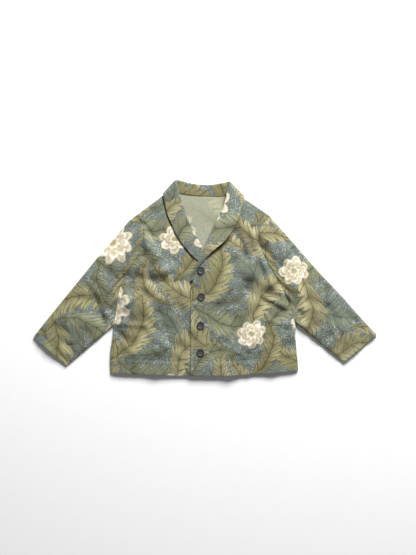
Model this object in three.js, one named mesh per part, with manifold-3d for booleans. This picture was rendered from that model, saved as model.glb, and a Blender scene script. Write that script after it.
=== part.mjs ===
// A child's cotton jacket with a shawl collar, buttoned up and laid flat on its back.
// Millimetres. X runs across the jacket with the wearer's left at +X, Y runs to the neck,
// and Z is up from the surface it lies on. The origin is on that surface, under the middle.
import * as THREE from 'three';
import Module from 'manifold-3d';

// Cloth and seams
const CLOTH = 1.4; // wall of the panels and the sleeves
const COLLAR_CLOTH = 1.6; // facing and under layer of the collar together
const SEAM_GAP = 0.3; // between two pieces that are sewn together

// Heights of the middle of the cloth above the surface
const FLOOR_LEVEL = CLOTH / 2;
const SEAM_LEVEL = 4.2; // side seams and underarm seams, at the fold
const FRONT_LEVELS = [ // y, height
  [-196, 8.2],
  [-110, 8.8],
  [-20, 9.6],
  [60, 10.2],
  [180, 9.4],
];
const FRONT_ROLL = 11; // width over which the front falls to its side seam
const BACK_ROLL = 5;
const SHOULDER_WRAP = 5; // the back folds over the shoulder by this much
const NECK_RAISE = 2.1; // the back lies on the collar's fall by the neck
const NECK_RAISE_FULL = 29;
const NECK_RAISE_END = 64;

// Shallow ripples of the back, with a flat patch round the place it rests on
const RIPPLE = { height: 0.5, across: 84, along: 132, still: 26, full: 70 };
const REST_PLACE = [0, -60];

// The wearer's left front lies over the right one, and over its lapel
const OVERLAP = { lift: 2.4, full: 18, end: 74, low: 62, high: 112 };
const CROSSING = { lift: 3.1, x: 2, y: 28, halfWidth: 26, halfHeight: 50 };

// Sleeve heights from the armhole to the cuff: share of the length, height, crown
const SLEEVE_LEVELS = [
  [0, 8.8, 1.0],
  [0.35, 8.6, 2.2],
  [0.7, 8.2, 2.2],
  [1, 7.8, 1.6],
];
const SLEEVE_BLEND = 0.22; // share of the sleeve in which the armhole's heights fade out

// The largest folds: x1, y1, x2, y2, half width, height
const FOLDS = [
  [-124, 92, -98, 16, 13, 1.5],
  [-160, -24, -112, -70, 12, 1.6],
  [-96, -196, -88, -128, 17, 1.2],
  [-58, -30, -96, 40, 15, 0.9],
  [104, 84, 84, 8, 13, 1.6],
  [150, -26, 92, 6, 13, 1.7],
  [104, -52, 78, -128, 15, 1.0],
  [48, -196, 54, -140, 17, 1.3],
  [130, -196, 138, -150, 15, 1.0],
  [-176, 62, -192, -64, 13, 1.5],
  [-214, 10, -240, -92, 13, 1.3],
  [-262, -50, -290, -112, 12, 0.9],
  [166, 60, 194, -60, 13, 1.5],
  [212, 2, 230, -84, 13, 1.4],
  [262, -58, 282, -116, 12, 0.9],
];

// Corners that several pieces share, in plan
const UNDERARM = { right: [-182.4, -92.8], left: [180.2, -88.8] };
const SHOULDER_END = { right: [-133.4, 122.4], left: [125.8, 120.3] };
const NECK_END = { right: [-65.9, 172.5], left: [57, 167.4] };
const HEM_CORNER = { right: [-188.8, -189.4], left: [185.8, -185] };
const HEM_MIDDLE = { right: [12.6, -195.4], left: [-29, -195.6] };

// Plan lines of each half, in the view from above.
// Outline and seams run from the shoulder down, the hem from the side to the middle.
const HALVES = {
  right: {
    sign: -1,
    sleeveTop: [
      [-136.4, 126.4], [-150.4, 115.6], [-164.4, 100.4], [-184.4, 76.4], [-212.4, 44.4],
      [-238.4, 12.4], [-264.4, -19.6], [-290.4, -51.6], [-316.4, -83.6], [-343.4, -117.6],
    ],
    sleeveUnder: [UNDERARM.right, [-278, -174.8]],
    armhole: [
      SHOULDER_END.right, [-124.4, 99], [-128.4, 66.4], [-142.4, 32.4], [-163, -1],
      [-170.6, -22], [-175, -46], UNDERARM.right,
    ],
    armholeBack: [
      SHOULDER_END.right, [-131, 92], [-138, 52], [-152, 10], [-164, -30], [-172, -62],
      UNDERARM.right,
    ],
    side: [UNDERARM.right, [-184.6, -116], [-188.6, -144], [-189.6, -170], HEM_CORNER.right],
    hem: [
      HEM_CORNER.right, [-150, -191.6], [-110, -192.8], [-60, -194.6], HEM_MIDDLE.right,
    ],
    frontEdge: [HEM_MIDDLE.right, [12.6, -18]],
  },
  left: {
    sign: 1,
    sleeveTop: [
      [128.6, 124.4], [147.6, 102], [163.6, 84.4], [191.6, 52.4], [219.6, 20.4],
      [249.6, -11.6], [279.6, -43.6], [307.6, -75.6], [343.4, -113.4],
    ],
    sleeveUnder: [UNDERARM.left, [277.8, -168.6]],
    armhole: [
      SHOULDER_END.left, [109, 96], [109.6, 66.4], [125, 32], [148, -8], [166, -46],
      UNDERARM.left,
    ],
    armholeBack: [
      SHOULDER_END.left, [121, 92], [128, 52], [144, 8], [160, -34], [172, -64],
      UNDERARM.left,
    ],
    side: [UNDERARM.left, [180.4, -116], [182.4, -144], [184.6, -168], HEM_CORNER.left],
    hem: [HEM_CORNER.left, [150, -188.4], [104, -192], [50, -194.8], HEM_MIDDLE.left],
    frontEdge: [HEM_MIDDLE.left, [-28.8, -17]],
  },
};

// Collar stations from the tip of each lapel up to the shoulder, in plan:
// roll x, y, seam x, y, outer edge x, y, lift of the edge over the front, roll radius
const LAPELS = {
  right: [
    [13, -6, 8.3, -7.2, 8.4, -5.6, 2.8, 1.3],
    [10.5, 12, 4.5, 9.5, 1.8, 12.8, 2.8, 1.3],
    [4.6, 34.4, -3.2, 31, -10.6, 32, 2.8, 1.35],
    [-3, 55, -11.8, 49.8, -26, 45.5, 2.8, 1.45],
    [-12, 71.6, -21, 66.3, -42, 65, 3, 1.7],
    [-25, 97, -34.5, 91, -56.6, 86.6, 3, 2],
    [-36.5, 120, -46.5, 113, -67.4, 109.6, 2.8, 2.2],
    [-43.6, 143, -54.5, 135.5, -74.9, 127, 2.6, 2.2],
    [-49.6, 160, -61, 152, -79.4, 144.6, 2.5, 2.2],
    [-54, 177, -65.2, 164, -82.2, 158.4, 2.5, 2.2],
    [-57, 189, ...NECK_END.right, -83.4, 163.8, 2.4, 2.2],
  ],
  left: [
    [-28.6, -5, -24, -6.4, -24.4, -3.4, 2.8, 1.3],
    [-23, 14.5, -17.5, 12.2, -17.4, 17, 2.8, 1.35],
    [-15.5, 31, -9, 28.5, -5.6, 32.5, 3.6, 1.5],
    [-6.5, 47.5, 1.5, 44.5, 6.4, 45.2, 4.6, 1.7],
    [1.5, 67, 11, 63, 21, 59, 5.6, 1.9],
    [11, 87.5, 20.5, 82, 37.4, 72.8, 6.4, 2],
    [19.4, 107.2, 29, 102, 51.4, 90, 6.8, 2.2],
    [28.6, 125.5, 39.5, 118.5, 62.4, 110, 6.6, 2.2],
    [36.4, 142, 47, 134.5, 69.2, 127, 5, 2.2],
    [41.6, 160, 52, 151, 73.6, 143.4, 4, 2.2],
    [44.4, 177, 56, 161.5, 76, 154, 3, 2.2],
    [47.2, 187, ...NECK_END.left, 76.7, 159, 2.4, 2.2],
  ],
};
const LAPEL_BULGE = 1.1; // rise of the fall between its edge and the roll
const BULGE_WIDTHS = [8, 26]; // widths of the fall at which the bulge starts and is full
const COLLAR_CLEARANCE = 2.4; // between the collar's edge and the cloth at the shoulder fold

// Collar round the shoulder fold, between the lapel and the back: roll x, y, edge x, y
const COLLAR_TURN = {
  right: [
    [-57.4, 192.4, -84.4, 166.8],
    [-57, 194.9, -85, 168.8],
    [-54.6, 195.3, -84.8, 168],
    [-50.6, 194.9, -83, 164.6],
    [-46.4, 194.2, -79.6, 159],
  ],
  left: [
    [48, 189.6, 77.6, 161.6],
    [47.4, 191.4, 78.2, 163.2],
    [45, 191.8, 77.8, 162],
    [41.4, 191.6, 75.8, 158.4],
    [37.6, 191, 72.4, 153.6],
  ],
};

// Back of the neck: the seam, the roll of the collar and the edge of its fall, in plan
const NECK_SEAM = [
  NECK_END.right, [-44, 166.8], [-4.4, 163.4], [36, 163.2], NECK_END.left,
];
const NECK_ROLL = [[-46.4, 194.2], [-28, 189.4], [-4.4, 187], [18, 187.4], [37.6, 191]];
const NECK_EDGE = [[-79.6, 159], [-48, 145], [-4.4, 140], [38, 140.6], [72.4, 153.6]];
const NECK_ROLL_RADIUS = 2.2;
const COLLAR_REST = COLLAR_CLOTH / 2 + 0.02; // middle of the fall where it lies on the surface

// Buttons down the centre front: x, y
const BUTTONS = [[-8.4, 15.6], [-7.8, -37], [-9.4, -94.2], [-9.4, -148.6]];
const BUTTON_RADIUS = 7.5;
const BUTTON_PROFILE = [ // radius, height
  [0, 0], [6.3, 0], [7.3, 0.7], [BUTTON_RADIUS, 1.5], [7.0, 2.4], [6.2, 2.6], [5.2, 2.2],
  [4.6, 1.6], [0, 1.5],
];
const BUTTON_SEGMENTS = 24;
const THREAD_HOLE = { radius: 0.75, circle: 1.9, count: 4, segments: 8, length: 12 };
const BUTTON_CLEARANCE = 0.3;
const SEAT_POINTS = 12; // places round a button at which the cloth's height is read

// Where several seams meet the gap is wider
const SEAM_EASES = [
  { corners: UNDERARM, reach: 5, extra: 0.6 },
  { corners: NECK_END, reach: 7, extra: 0.4 },
];
const MOST_CORNER = 2; // how many times the gap a sharp corner moves at the most

// Mesh stations
const ROWS_SIDE = 9; // hem to underarm
const ROWS_ARM = 14; // underarm to shoulder
const FRONT_COLUMNS = 15;
const NECK_COLUMNS = 9;
const WRAP_STEPS = 5; // round the shoulder fold
const SLEEVE_STEPS = 13; // armhole to cuff
const EDGE_COLUMNS = [0, 1.3, 4, 8.6]; // distances from a side seam
const FALL_STEPS = 4;
const ROLL_STEPS = 5;
const LEG_STEPS = 3;

const JACKET_CLOTH = { color: '#7c8272', roughness: 0.9, metalness: 0 };
const BUTTON_PLASTIC = { color: '#3b3a40', roughness: 0.45, metalness: 0 };

const SAME_POINT = 1e-3; // points of one sheet this close are one
const KEY_STEPS = 100; // steps to the millimetre in which points of two sheets are matched
const CURVE_STEPS = 400;

const { lerp, clamp } = THREE.MathUtils;

const smooth = (from, to, value) => {
  const t = clamp((value - from) / (to - from), 0, 1);
  return t * t * (3 - 2 * t);
};

// Quarter round that rises from 0 at the edge to 1
const rounded = (share) => {
  const t = clamp(share, 0, 1);
  return Math.sqrt(1 - (1 - t) * (1 - t));
};

const plan = ([x, y]) => new THREE.Vector3(x, y, 0);

const curveThrough = (points) =>
  new THREE.CatmullRomCurve3(points.map(plan), false, 'centripetal');

const pointsOn = (points, shares) => {
  const curve = curveThrough(points);
  curve.arcLengthDivisions = CURVE_STEPS;
  return shares.map((share) => curve.getPointAt(share));
};

const evenShares = (count) => Array.from({ length: count + 1 }, (_, i) => i / count);

// Shares that lie closer together at both ends
const easedShares = (count) =>
  evenShares(count).map((t) => (1 - Math.cos(Math.PI * t)) / 2);

// Value in the columns of a table at a place in its first column
function tableAt(rows, place) {
  const last = rows.length - 1;
  if (place <= rows[0][0]) return rows[0].slice(1);
  if (place >= rows[last][0]) return rows[last].slice(1);
  const next = rows.findIndex((row) => row[0] > place);
  const t = smooth(rows[next - 1][0], rows[next][0], place);
  return rows[next].slice(1).map((value, i) => lerp(rows[next - 1][i + 1], value, t));
}

function distanceToSegment(x, y, [x1, y1], [x2, y2]) {
  const dx = x2 - x1;
  const dy = y2 - y1;
  const t = clamp(((x - x1) * dx + (y - y1) * dy) / (dx * dx + dy * dy), 0, 1);
  return Math.hypot(x - x1 - t * dx, y - y1 - t * dy);
}

function distanceToLine(x, y, points) {
  const distances = points.slice(1).map((p, i) => distanceToSegment(x, y, points[i], p));
  return Math.min(...distances);
}

function foldHeight(x, y) {
  let height = 0;
  for (const [x1, y1, x2, y2, half, rise] of FOLDS) {
    const share = distanceToSegment(x, y, [x1, y1], [x2, y2]) / half;
    height += rise * Math.exp(-share * share);
  }
  return height;
}

function overlapLift(x, y) {
  const across = 1 - smooth(OVERLAP.full, OVERLAP.end, x);
  const along = 1 - smooth(OVERLAP.low, OVERLAP.high, y);
  const sideways = ((x - CROSSING.x) / CROSSING.halfWidth) ** 4;
  const lengthways = ((y - CROSSING.y) / CROSSING.halfHeight) ** 4;
  return OVERLAP.lift * across * along + CROSSING.lift * Math.exp(-sideways - lengthways);
}

// Side seam points from hem to underarm, where front and back meet
const SIDE_SEAMS = Object.fromEntries(Object.entries(HALVES).map(([side, { side: line }]) =>
  [side, pointsOn([...line].reverse(), evenShares(ROWS_SIDE))]));

const fromSideSeam = (side, x, y) =>
  distanceToLine(x, y, SIDE_SEAMS[side].map((p) => [p.x, p.y]));

function frontHeight(side, x, y) {
  const [level] = tableAt(FRONT_LEVELS, y);
  const lift = side === 'left' ? overlapLift(x, y) : 0;
  const top = level + foldHeight(x, y) + lift;
  return lerp(SEAM_LEVEL, top, rounded(fromSideSeam(side, x, y) / FRONT_ROLL));
}

function rippleHeight(x, y) {
  const [restX, restY] = REST_PLACE;
  const fade = smooth(RIPPLE.still, RIPPLE.full, Math.hypot(x - restX, y - restY));
  const turn = 2 * Math.PI;
  const wave = Math.sin((turn * x) / RIPPLE.across) * Math.cos((turn * y) / RIPPLE.along);
  return (RIPPLE.height * fade * (1 + wave)) / 2;
}

function backHeight(side, x, y) {
  const fromNeck = distanceToLine(x, y, NECK_SEAM);
  const raise = NECK_RAISE * (1 - smooth(NECK_RAISE_FULL, NECK_RAISE_END, fromNeck));
  const level = FLOOR_LEVEL + raise + rippleHeight(x, y);
  return lerp(SEAM_LEVEL, level, rounded(fromSideSeam(side, x, y) / BACK_ROLL));
}

const onFront = (side, p) => new THREE.Vector3(p.x, p.y, frontHeight(side, p.x, p.y));
const onBack = (side, p) => new THREE.Vector3(p.x, p.y, backHeight(side, p.x, p.y));

// Direction out of the jacket over the shoulder seam, in plan
function shoulderOut(side) {
  const { sign } = HALVES[side];
  const along = plan(SHOULDER_END[side]).sub(plan(NECK_END[side])).normalize();
  return new THREE.Vector3(-along.y * sign, along.x * sign, 0);
}

// Shares along a line with close columns next to the side seam, from the seam inwards
function edgeShares(columns, length) {
  const close = EDGE_COLUMNS.map((d) => d / length);
  const rest = columns - close.length + 1;
  const first = close[close.length - 1];
  const others = evenShares(rest).slice(1).map((t) => lerp(first, 1, t));
  return [...close, ...others];
}

const lengthOf = (points) => curveThrough(points).getLength();

// Shoulder seam in plan, from the armhole to the neck
function shoulderSeam(side) {
  const outer = plan(SHOULDER_END[side]);
  const inner = plan(NECK_END[side]);
  const shares = edgeShares(FRONT_COLUMNS, outer.distanceTo(inner));
  return shares.map((t) => outer.clone().lerp(inner, t));
}

// Arc from the back's height over the shoulder fold to the front's, one point per step
function wrapPoints(side, seamPoint) {
  const out = shoulderOut(side);
  const low = backHeight(side, seamPoint.x, seamPoint.y);
  const high = frontHeight(side, seamPoint.x, seamPoint.y);
  return evenShares(WRAP_STEPS).map((t) => {
    const angle = Math.PI * (t - 0.5);
    const p = seamPoint.clone().addScaledVector(out, SHOULDER_WRAP * Math.cos(angle));
    p.z = lerp(low, high, (1 + Math.sin(angle)) / 2);
    return p;
  });
}

// Plan grid inside four boundary lines; rows run from bottom to top
function fillGrid(bottom, top, start, end) {
  const rows = start.length - 1;
  const columns = bottom.length - 1;
  const shareAlong = (line, i) => {
    const lengths = [0];
    line.slice(1).forEach((p, k) => lengths.push(lengths[k] + p.distanceTo(line[k])));
    return lengths[i] / lengths[lengths.length - 1];
  };
  const grid = [];
  for (let j = 0; j <= rows; j += 1) {
    const t = (shareAlong(start, j) + shareAlong(end, j)) / 2;
    const row = [];
    for (let i = 0; i <= columns; i += 1) {
      const s = lerp(shareAlong(bottom, i), shareAlong(top, i), t);
      const p = bottom[i].clone().lerp(top[i], t);
      p.add(start[j].clone().lerp(end[j], s));
      const low = bottom[0].clone().lerp(bottom[columns], s);
      const high = top[0].clone().lerp(top[columns], s);
      p.sub(low.lerp(high, t));
      row.push(p);
    }
    grid.push(row);
  }
  return grid;
}

// Sheet of cloth: points of its middle surface and the faces between them, which all the
// sheets turn the same way, so that the fronts' outer side runs on under the collar
class Sheet {
  constructor(name, thickness) {
    this.name = name;
    this.thickness = thickness;
    this.points = [];
    this.quads = [];
  }

  // Adds a grid of points, whose faces are turned over by flip
  addGrid(grid, { closed = false, flip = false } = {}) {
    const ids = grid.map((row) => row.map((p) => this.addPoint(p)));
    for (let j = 0; j + 1 < ids.length; j += 1) {
      const count = closed ? ids[j].length : ids[j].length - 1;
      for (let i = 0; i < count; i += 1) {
        const k = (i + 1) % ids[j].length;
        const quad = [ids[j][i], ids[j][k], ids[j + 1][k], ids[j + 1][i]];
        this.quads.push(flip ? quad.reverse() : quad);
      }
    }
  }

  addPoint(p) {
    const found = this.points.findIndex((q) => q.distanceTo(p) < SAME_POINT);
    if (found >= 0) return found;
    this.points.push(p.clone());
    return this.points.length - 1;
  }
}

const keyOf = (p) => [p.x, p.y, p.z].map((v) => Math.round(v * KEY_STEPS)).join(' ');

function faceNormal(points, [a, b, c, d]) {
  const across = points[c].clone().sub(points[a]);
  const other = points[d].clone().sub(points[b]);
  return across.cross(other);
}

// Normals of all the sheets as one sewn surface, so that sewn edges meet squarely
function sewnNormals(sheets) {
  const table = new Map();
  for (const sheet of sheets) {
    for (const quad of sheet.quads) {
      const normal = faceNormal(sheet.points, quad);
      for (const id of quad) {
        const key = keyOf(sheet.points[id]);
        const entry = table.get(key) ?? { normal: new THREE.Vector3(), names: new Set() };
        entry.normal.add(normal);
        entry.names.add(sheet.name);
        table.set(key, entry);
      }
    }
  }
  return table;
}

// Half of the gap at a seam, which is wider where several seams meet
function halfGap(p) {
  const eases = SEAM_EASES.flatMap(({ corners, reach, extra }) =>
    Object.values(corners).map(([x, y]) => {
      const share = Math.hypot(p.x - x, p.y - y) / reach;
      return extra * Math.exp(-share * share);
    }));
  return SEAM_GAP / 2 + Math.max(...eases);
}

// Edges of a sheet that only one face has, in that face's direction
function rimOf(sheet) {
  const edges = new Map();
  for (const quad of sheet.quads) {
    quad.forEach((p, k) => {
      const q = quad[(k + 1) % quad.length];
      edges.set(`${p} ${q}`, [p, q]);
    });
  }
  return [...edges.values()].filter(([p, q]) => !edges.has(`${q} ${p}`));
}

// Moves a sewn point of the rim back into the sheet by half of the gap
function pulledBack(sheet, rim, id, normal) {
  const p = sheet.points[id];
  const inwards = new THREE.Vector3();
  for (const [from, to] of rim) {
    if (from !== id && to !== id) continue;
    const edge = sheet.points[to].clone().sub(sheet.points[from]).normalize();
    inwards.add(normal.clone().cross(edge).normalize());
  }
  const reach = Math.max(inwards.lengthSq() / 2, 1 / MOST_CORNER);
  return p.clone().addScaledVector(inwards, halfGap(p) / reach);
}

// Closed wall of even thickness round the middle surface of a sheet
function wallGeometry(sheet, sewn) {
  const count = sheet.points.length;
  const outer = [];
  const inner = [];
  const isSewn = (id) => sewn.get(keyOf(sheet.points[id])).names.size > 1;
  const rim = rimOf(sheet);
  const seamRim = rim.filter(([p, q]) => isSewn(p) && isSewn(q));
  sheet.points.forEach((point, id) => {
    const unit = sewn.get(keyOf(point)).normal.clone().normalize();
    const middle = isSewn(id) ? pulledBack(sheet, seamRim, id, unit) : point;
    outer.push(middle.clone().addScaledVector(unit, sheet.thickness / 2));
    inner.push(middle.clone().addScaledVector(unit, -sheet.thickness / 2));
  });
  const faces = [];
  for (const [a, b, c, d] of sheet.quads) {
    faces.push(a, b, c, a, c, d);
    faces.push(a + count, c + count, b + count, a + count, d + count, c + count);
  }
  for (const [p, q] of rim) {
    faces.push(q, p, p + count, q, p + count, q + count);
  }
  const geometry = new THREE.BufferGeometry();
  geometry.setFromPoints([...outer, ...inner]);
  geometry.setIndex(faces);
  geometry.computeVertexNormals();
  return geometry;
}

// Columns of the lapel table as curves, read at even steps along the seam
function lapelStations(side) {
  const rows = LAPELS[side];
  const seam = rows.map((row) => [row[2], row[3]]);
  const curve = curveThrough(seam);
  const columns = [0, 4, 6].map((c) =>
    new THREE.CatmullRomCurve3(
      rows.map((row) => new THREE.Vector3(row[c], row[c + 1], 0)), false, 'centripetal'));
  return evenShares(ROWS_ARM).map((share) => {
    const place = curve.getUtoTmapping(share);
    const [roll, edge, size] = columns.map((column) => column.getPoint(place));
    return { seam: curve.getPoint(place), roll, edge, lift: size.x, radius: size.y };
  });
}

// Armhole seam from the underarm to the shoulder
const armholeRows = (armhole) => pointsOn([...armhole].reverse(), easedShares(ROWS_ARM));

const sideRows = (side, armhole) => [...SIDE_SEAMS[side], ...armholeRows(armhole).slice(1)];

function innerRows(side) {
  const edge = pointsOn(HALVES[side].frontEdge, evenShares(ROWS_SIDE - 1));
  return [...edge, ...lapelStations(side).map((station) => station.seam)];
}

function hemPoints(side) {
  const { hem } = HALVES[side];
  return pointsOn(hem, edgeShares(FRONT_COLUMNS, lengthOf(hem)));
}

function frontSheet(side) {
  const sheet = new Sheet(`front_${side}`, CLOTH);
  const outer = sideRows(side, HALVES[side].armhole);
  const grid = fillGrid(hemPoints(side), shoulderSeam(side), outer, innerRows(side));
  const surface = grid.map((row) => row.map((p) => onFront(side, p)));
  sheet.addGrid(surface, { flip: side === 'left' });
  return sheet;
}

const sideOf = (p) => (p.x < NECK_SEAM[2][0] ? 'right' : 'left');

// Hem of the back, through the fronts' hems without their last points
function backHem() {
  const line = [...HALVES.right.hem.slice(0, -1), ...HALVES.left.hem.slice(0, -1).reverse()];
  const length = lengthOf(line);
  const columns = 2 * FRONT_COLUMNS + NECK_COLUMNS;
  const close = EDGE_COLUMNS.map((d) => d / length);
  const first = close[close.length - 1];
  const between = evenShares(columns - 2 * close.length + 2).slice(1, -1);
  const far = close.map((share) => 1 - share).reverse();
  return pointsOn(line, [...close, ...between.map((t) => lerp(first, 1 - first, t)), ...far]);
}

function backSheet() {
  const sheet = new Sheet('back', CLOTH);
  const right = sideRows('right', HALVES.right.armholeBack);
  const left = sideRows('left', HALVES.left.armholeBack);
  const neck = pointsOn(NECK_SEAM, evenShares(NECK_COLUMNS)).slice(1, -1);
  const rightSeam = shoulderSeam('right');
  const leftSeam = shoulderSeam('left').reverse();
  const top = [...rightSeam, ...neck, ...leftSeam];
  const grid = fillGrid(backHem(), top, right, left);
  const surface = grid.map((row) => row.map((p) => onBack(sideOf(p), p)));
  sheet.addGrid(surface, { flip: true });
  for (const [side, seam] of [['right', rightSeam], ['left', leftSeam]]) {
    const columns = seam.map((p) => wrapPoints(side, p));
    const rows = columns[0].map((_, j) => columns.map((column) => column[j]));
    sheet.addGrid(rows, { flip: true });
  }
  return sheet;
}

// Ring of points where a sleeve is sewn in, from the underarm up the front seam,
// over the shoulder and down the back seam, with each point's place on the ring
function armholeRing(side) {
  const shares = easedShares(ROWS_ARM);
  const { armhole, armholeBack } = HALVES[side];
  const front = armholeRows(armhole).map((p) => onFront(side, p));
  const back = armholeRows(armholeBack).map((p) => onBack(side, p)).reverse();
  const wrap = wrapPoints(side, plan(SHOULDER_END[side])).reverse().slice(1, -1);
  const ring = front.map((point, i) => ({ point, part: 'front', share: shares[i] }));
  wrap.forEach((point, i) => {
    ring.push({ point, part: 'wrap', angle: Math.PI * (0.5 - (i + 1) / WRAP_STEPS) });
  });
  back.slice(0, -1).forEach((point, i) => {
    ring.push({ point, part: 'back', share: shares[ROWS_ARM - i] });
  });
  return ring;
}

// Place on the flattened tube: distance in from the upper edge, and height
function sleevePlace(station, width, top, crown) {
  if (station.part === 'wrap') {
    const height = lerp(FLOOR_LEVEL, top, (1 + Math.sin(station.angle)) / 2);
    return { depth: SHOULDER_WRAP * (1 - Math.cos(station.angle)), height };
  }
  const fromUnder = station.share * (width - SHOULDER_WRAP);
  const depth = width - fromUnder;
  if (station.part === 'back') {
    const share = rounded(fromUnder / BACK_ROLL);
    return { depth, height: lerp(SEAM_LEVEL, FLOOR_LEVEL, share) };
  }
  const share = rounded(fromUnder / FRONT_ROLL);
  const bulge = crown * Math.sin(Math.PI * station.share);
  return { depth, height: lerp(SEAM_LEVEL, top + bulge, share), onTop: share };
}

function sleeveRing(ring, edges, share) {
  const { top, under, topStart, underStart } = edges;
  const upper = top.getPointAt(share);
  const lower = under.getPointAt(share);
  const width = upper.distanceTo(lower);
  const across = lower.clone().sub(upper).normalize();
  const startWidth = topStart.distanceTo(underStart);
  const startAcross = underStart.clone().sub(topStart).normalize();
  const [level, crown] = tableAt(SLEEVE_LEVELS, share);
  const fade = smooth(0, SLEEVE_BLEND, share);
  return ring.map((station) => {
    const place = sleevePlace(station, width, level, crown);
    const start = sleevePlace(station, startWidth, level, crown);
    const p = upper.clone().addScaledVector(across, place.depth);
    const straight = topStart.clone().addScaledVector(startAcross, start.depth);
    const bow = station.point.clone().setZ(0).sub(straight);
    p.addScaledVector(bow, 1 - share);
    const fold = place.onTop ? foldHeight(p.x, p.y) * place.onTop : 0;
    p.z = lerp(station.point.z, place.height + fold, fade);
    return p;
  });
}

function sleeveSheet(side) {
  const sheet = new Sheet(`sleeve_${side}`, CLOTH);
  const ring = armholeRing(side);
  const top = curveThrough(HALVES[side].sleeveTop);
  const under = curveThrough(HALVES[side].sleeveUnder);
  const edges = { top, under, topStart: top.getPoint(0), underStart: under.getPoint(0) };
  const rows = evenShares(SLEEVE_STEPS).map((share) => sleeveRing(ring, edges, share));
  rows[0] = ring.map((station) => station.point.clone());
  sheet.addGrid(rows, { closed: true, flip: side === 'left' });
  return sheet;
}

// Section of the collar from its outer edge over the roll and down to its seam
function collarSection({ seam, roll, edge, out, radius, bulge }) {
  const along = roll.clone().sub(edge);
  along.addScaledVector(out, -along.dot(out)).normalize();
  const centre = roll.clone().addScaledVector(along, -radius);
  const fallEnd = centre.clone().addScaledVector(out, radius);
  const legEnd = centre.clone().addScaledVector(out, -radius);
  const section = [];
  evenShares(FALL_STEPS).slice(0, -1).forEach((t) => {
    const p = edge.clone().lerp(fallEnd, t);
    section.push(p.addScaledVector(out, bulge * Math.sin(Math.PI * t)));
  });
  evenShares(ROLL_STEPS).forEach((t) => {
    const angle = Math.PI * t;
    const p = centre.clone().addScaledVector(out, radius * Math.cos(angle));
    section.push(p.addScaledVector(along, radius * Math.sin(angle)));
  });
  evenShares(LEG_STEPS).slice(1).forEach((t) => section.push(legEnd.clone().lerp(seam, t)));
  return section;
}

const UP = new THREE.Vector3(0, 0, 1);

function lapelSections(side) {
  return lapelStations(side).map(({ seam, roll, edge, lift, radius }) => {
    const foot = onFront(side, seam);
    const spread = roll.distanceTo(edge);
    return collarSection({
      seam: foot,
      roll: roll.clone().setZ(foot.z + radius),
      edge: edge.clone().setZ(frontHeight(side, edge.x, edge.y) + lift),
      out: UP,
      radius,
      bulge: LAPEL_BULGE * smooth(...BULGE_WIDTHS, spread),
    });
  });
}

// Sections round the shoulder fold, from the lapel's side to the back's
function turnSections(side) {
  const seam = shoulderSeam(side);
  const feet = wrapPoints(side, seam[seam.length - 1]).reverse();
  const shoulder = shoulderOut(side);
  const highRoll = feet[0].z + NECK_ROLL_RADIUS;
  const lowRoll = COLLAR_REST + NECK_ROLL_RADIUS;
  return COLLAR_TURN[side].map(([rollX, rollY, edgeX, edgeY], i) => {
    const share = (i + 1) / WRAP_STEPS;
    const turn = Math.PI * share;
    const foot = feet[i + 1];
    const out = UP.clone().multiplyScalar(Math.cos(turn));
    out.addScaledVector(shoulder, Math.sin(turn));
    const rollZ = lerp(highRoll, lowRoll, (1 - Math.cos(turn)) / 2);
    const edgeZ = Math.max(foot.z + COLLAR_CLEARANCE * Math.cos(turn), COLLAR_REST);
    return collarSection({
      seam: foot,
      roll: new THREE.Vector3(rollX, rollY, rollZ),
      edge: new THREE.Vector3(edgeX, edgeY, edgeZ),
      out,
      radius: NECK_ROLL_RADIUS,
      bulge: (LAPEL_BULGE * (1 - share)) / 2,
    });
  });
}

function neckSections() {
  const shares = evenShares(NECK_COLUMNS);
  const lines = [NECK_SEAM, NECK_ROLL, NECK_EDGE].map((line) => pointsOn(line, shares));
  return shares.map((_, i) => {
    const [seam, roll, edge] = lines.map((line) => line[i]);
    return collarSection({
      seam: onBack(sideOf(seam), seam),
      roll: roll.setZ(COLLAR_REST + NECK_ROLL_RADIUS),
      edge: edge.setZ(COLLAR_REST),
      out: UP.clone().negate(),
      radius: NECK_ROLL_RADIUS,
      bulge: 0,
    });
  });
}

function collarSheet() {
  const sheet = new Sheet('collar', COLLAR_CLOTH);
  const sections = [
    ...lapelSections('right'),
    ...turnSections('right').slice(0, -1),
    ...neckSections(),
    ...turnSections('left').slice(0, -1).reverse(),
    ...lapelSections('left').reverse(),
  ];
  sheet.addGrid(sections, { flip: true });
  return sheet;
}

function solidFrom(wasm, geometry) {
  const merged = new Map();
  const points = [];
  const source = geometry.getAttribute('position');
  const ids = [];
  for (let i = 0; i < source.count; i += 1) {
    const p = new THREE.Vector3().fromBufferAttribute(source, i);
    const key = keyOf(p);
    if (!merged.has(key)) {
      merged.set(key, points.length / 3);
      points.push(p.x, p.y, p.z);
    }
    ids.push(merged.get(key));
  }
  const triangles = [];
  for (let i = 0; i < geometry.index.count; i += 3) {
    const [a, b, c] = [0, 1, 2].map((k) => ids[geometry.index.getX(i + k)]);
    if (a !== b && b !== c && c !== a) triangles.push(a, b, c);
  }
  return new wasm.Manifold(new wasm.Mesh({
    numProp: 3,
    vertProperties: new Float32Array(points),
    triVerts: new Uint32Array(triangles),
  }));
}

function geometryFrom(solid) {
  const mesh = solid.getMesh();
  const geometry = new THREE.BufferGeometry();
  geometry.setAttribute('position', new THREE.BufferAttribute(mesh.vertProperties, 3));
  geometry.setIndex([...mesh.triVerts]);
  geometry.computeVertexNormals();
  return geometry;
}

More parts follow.
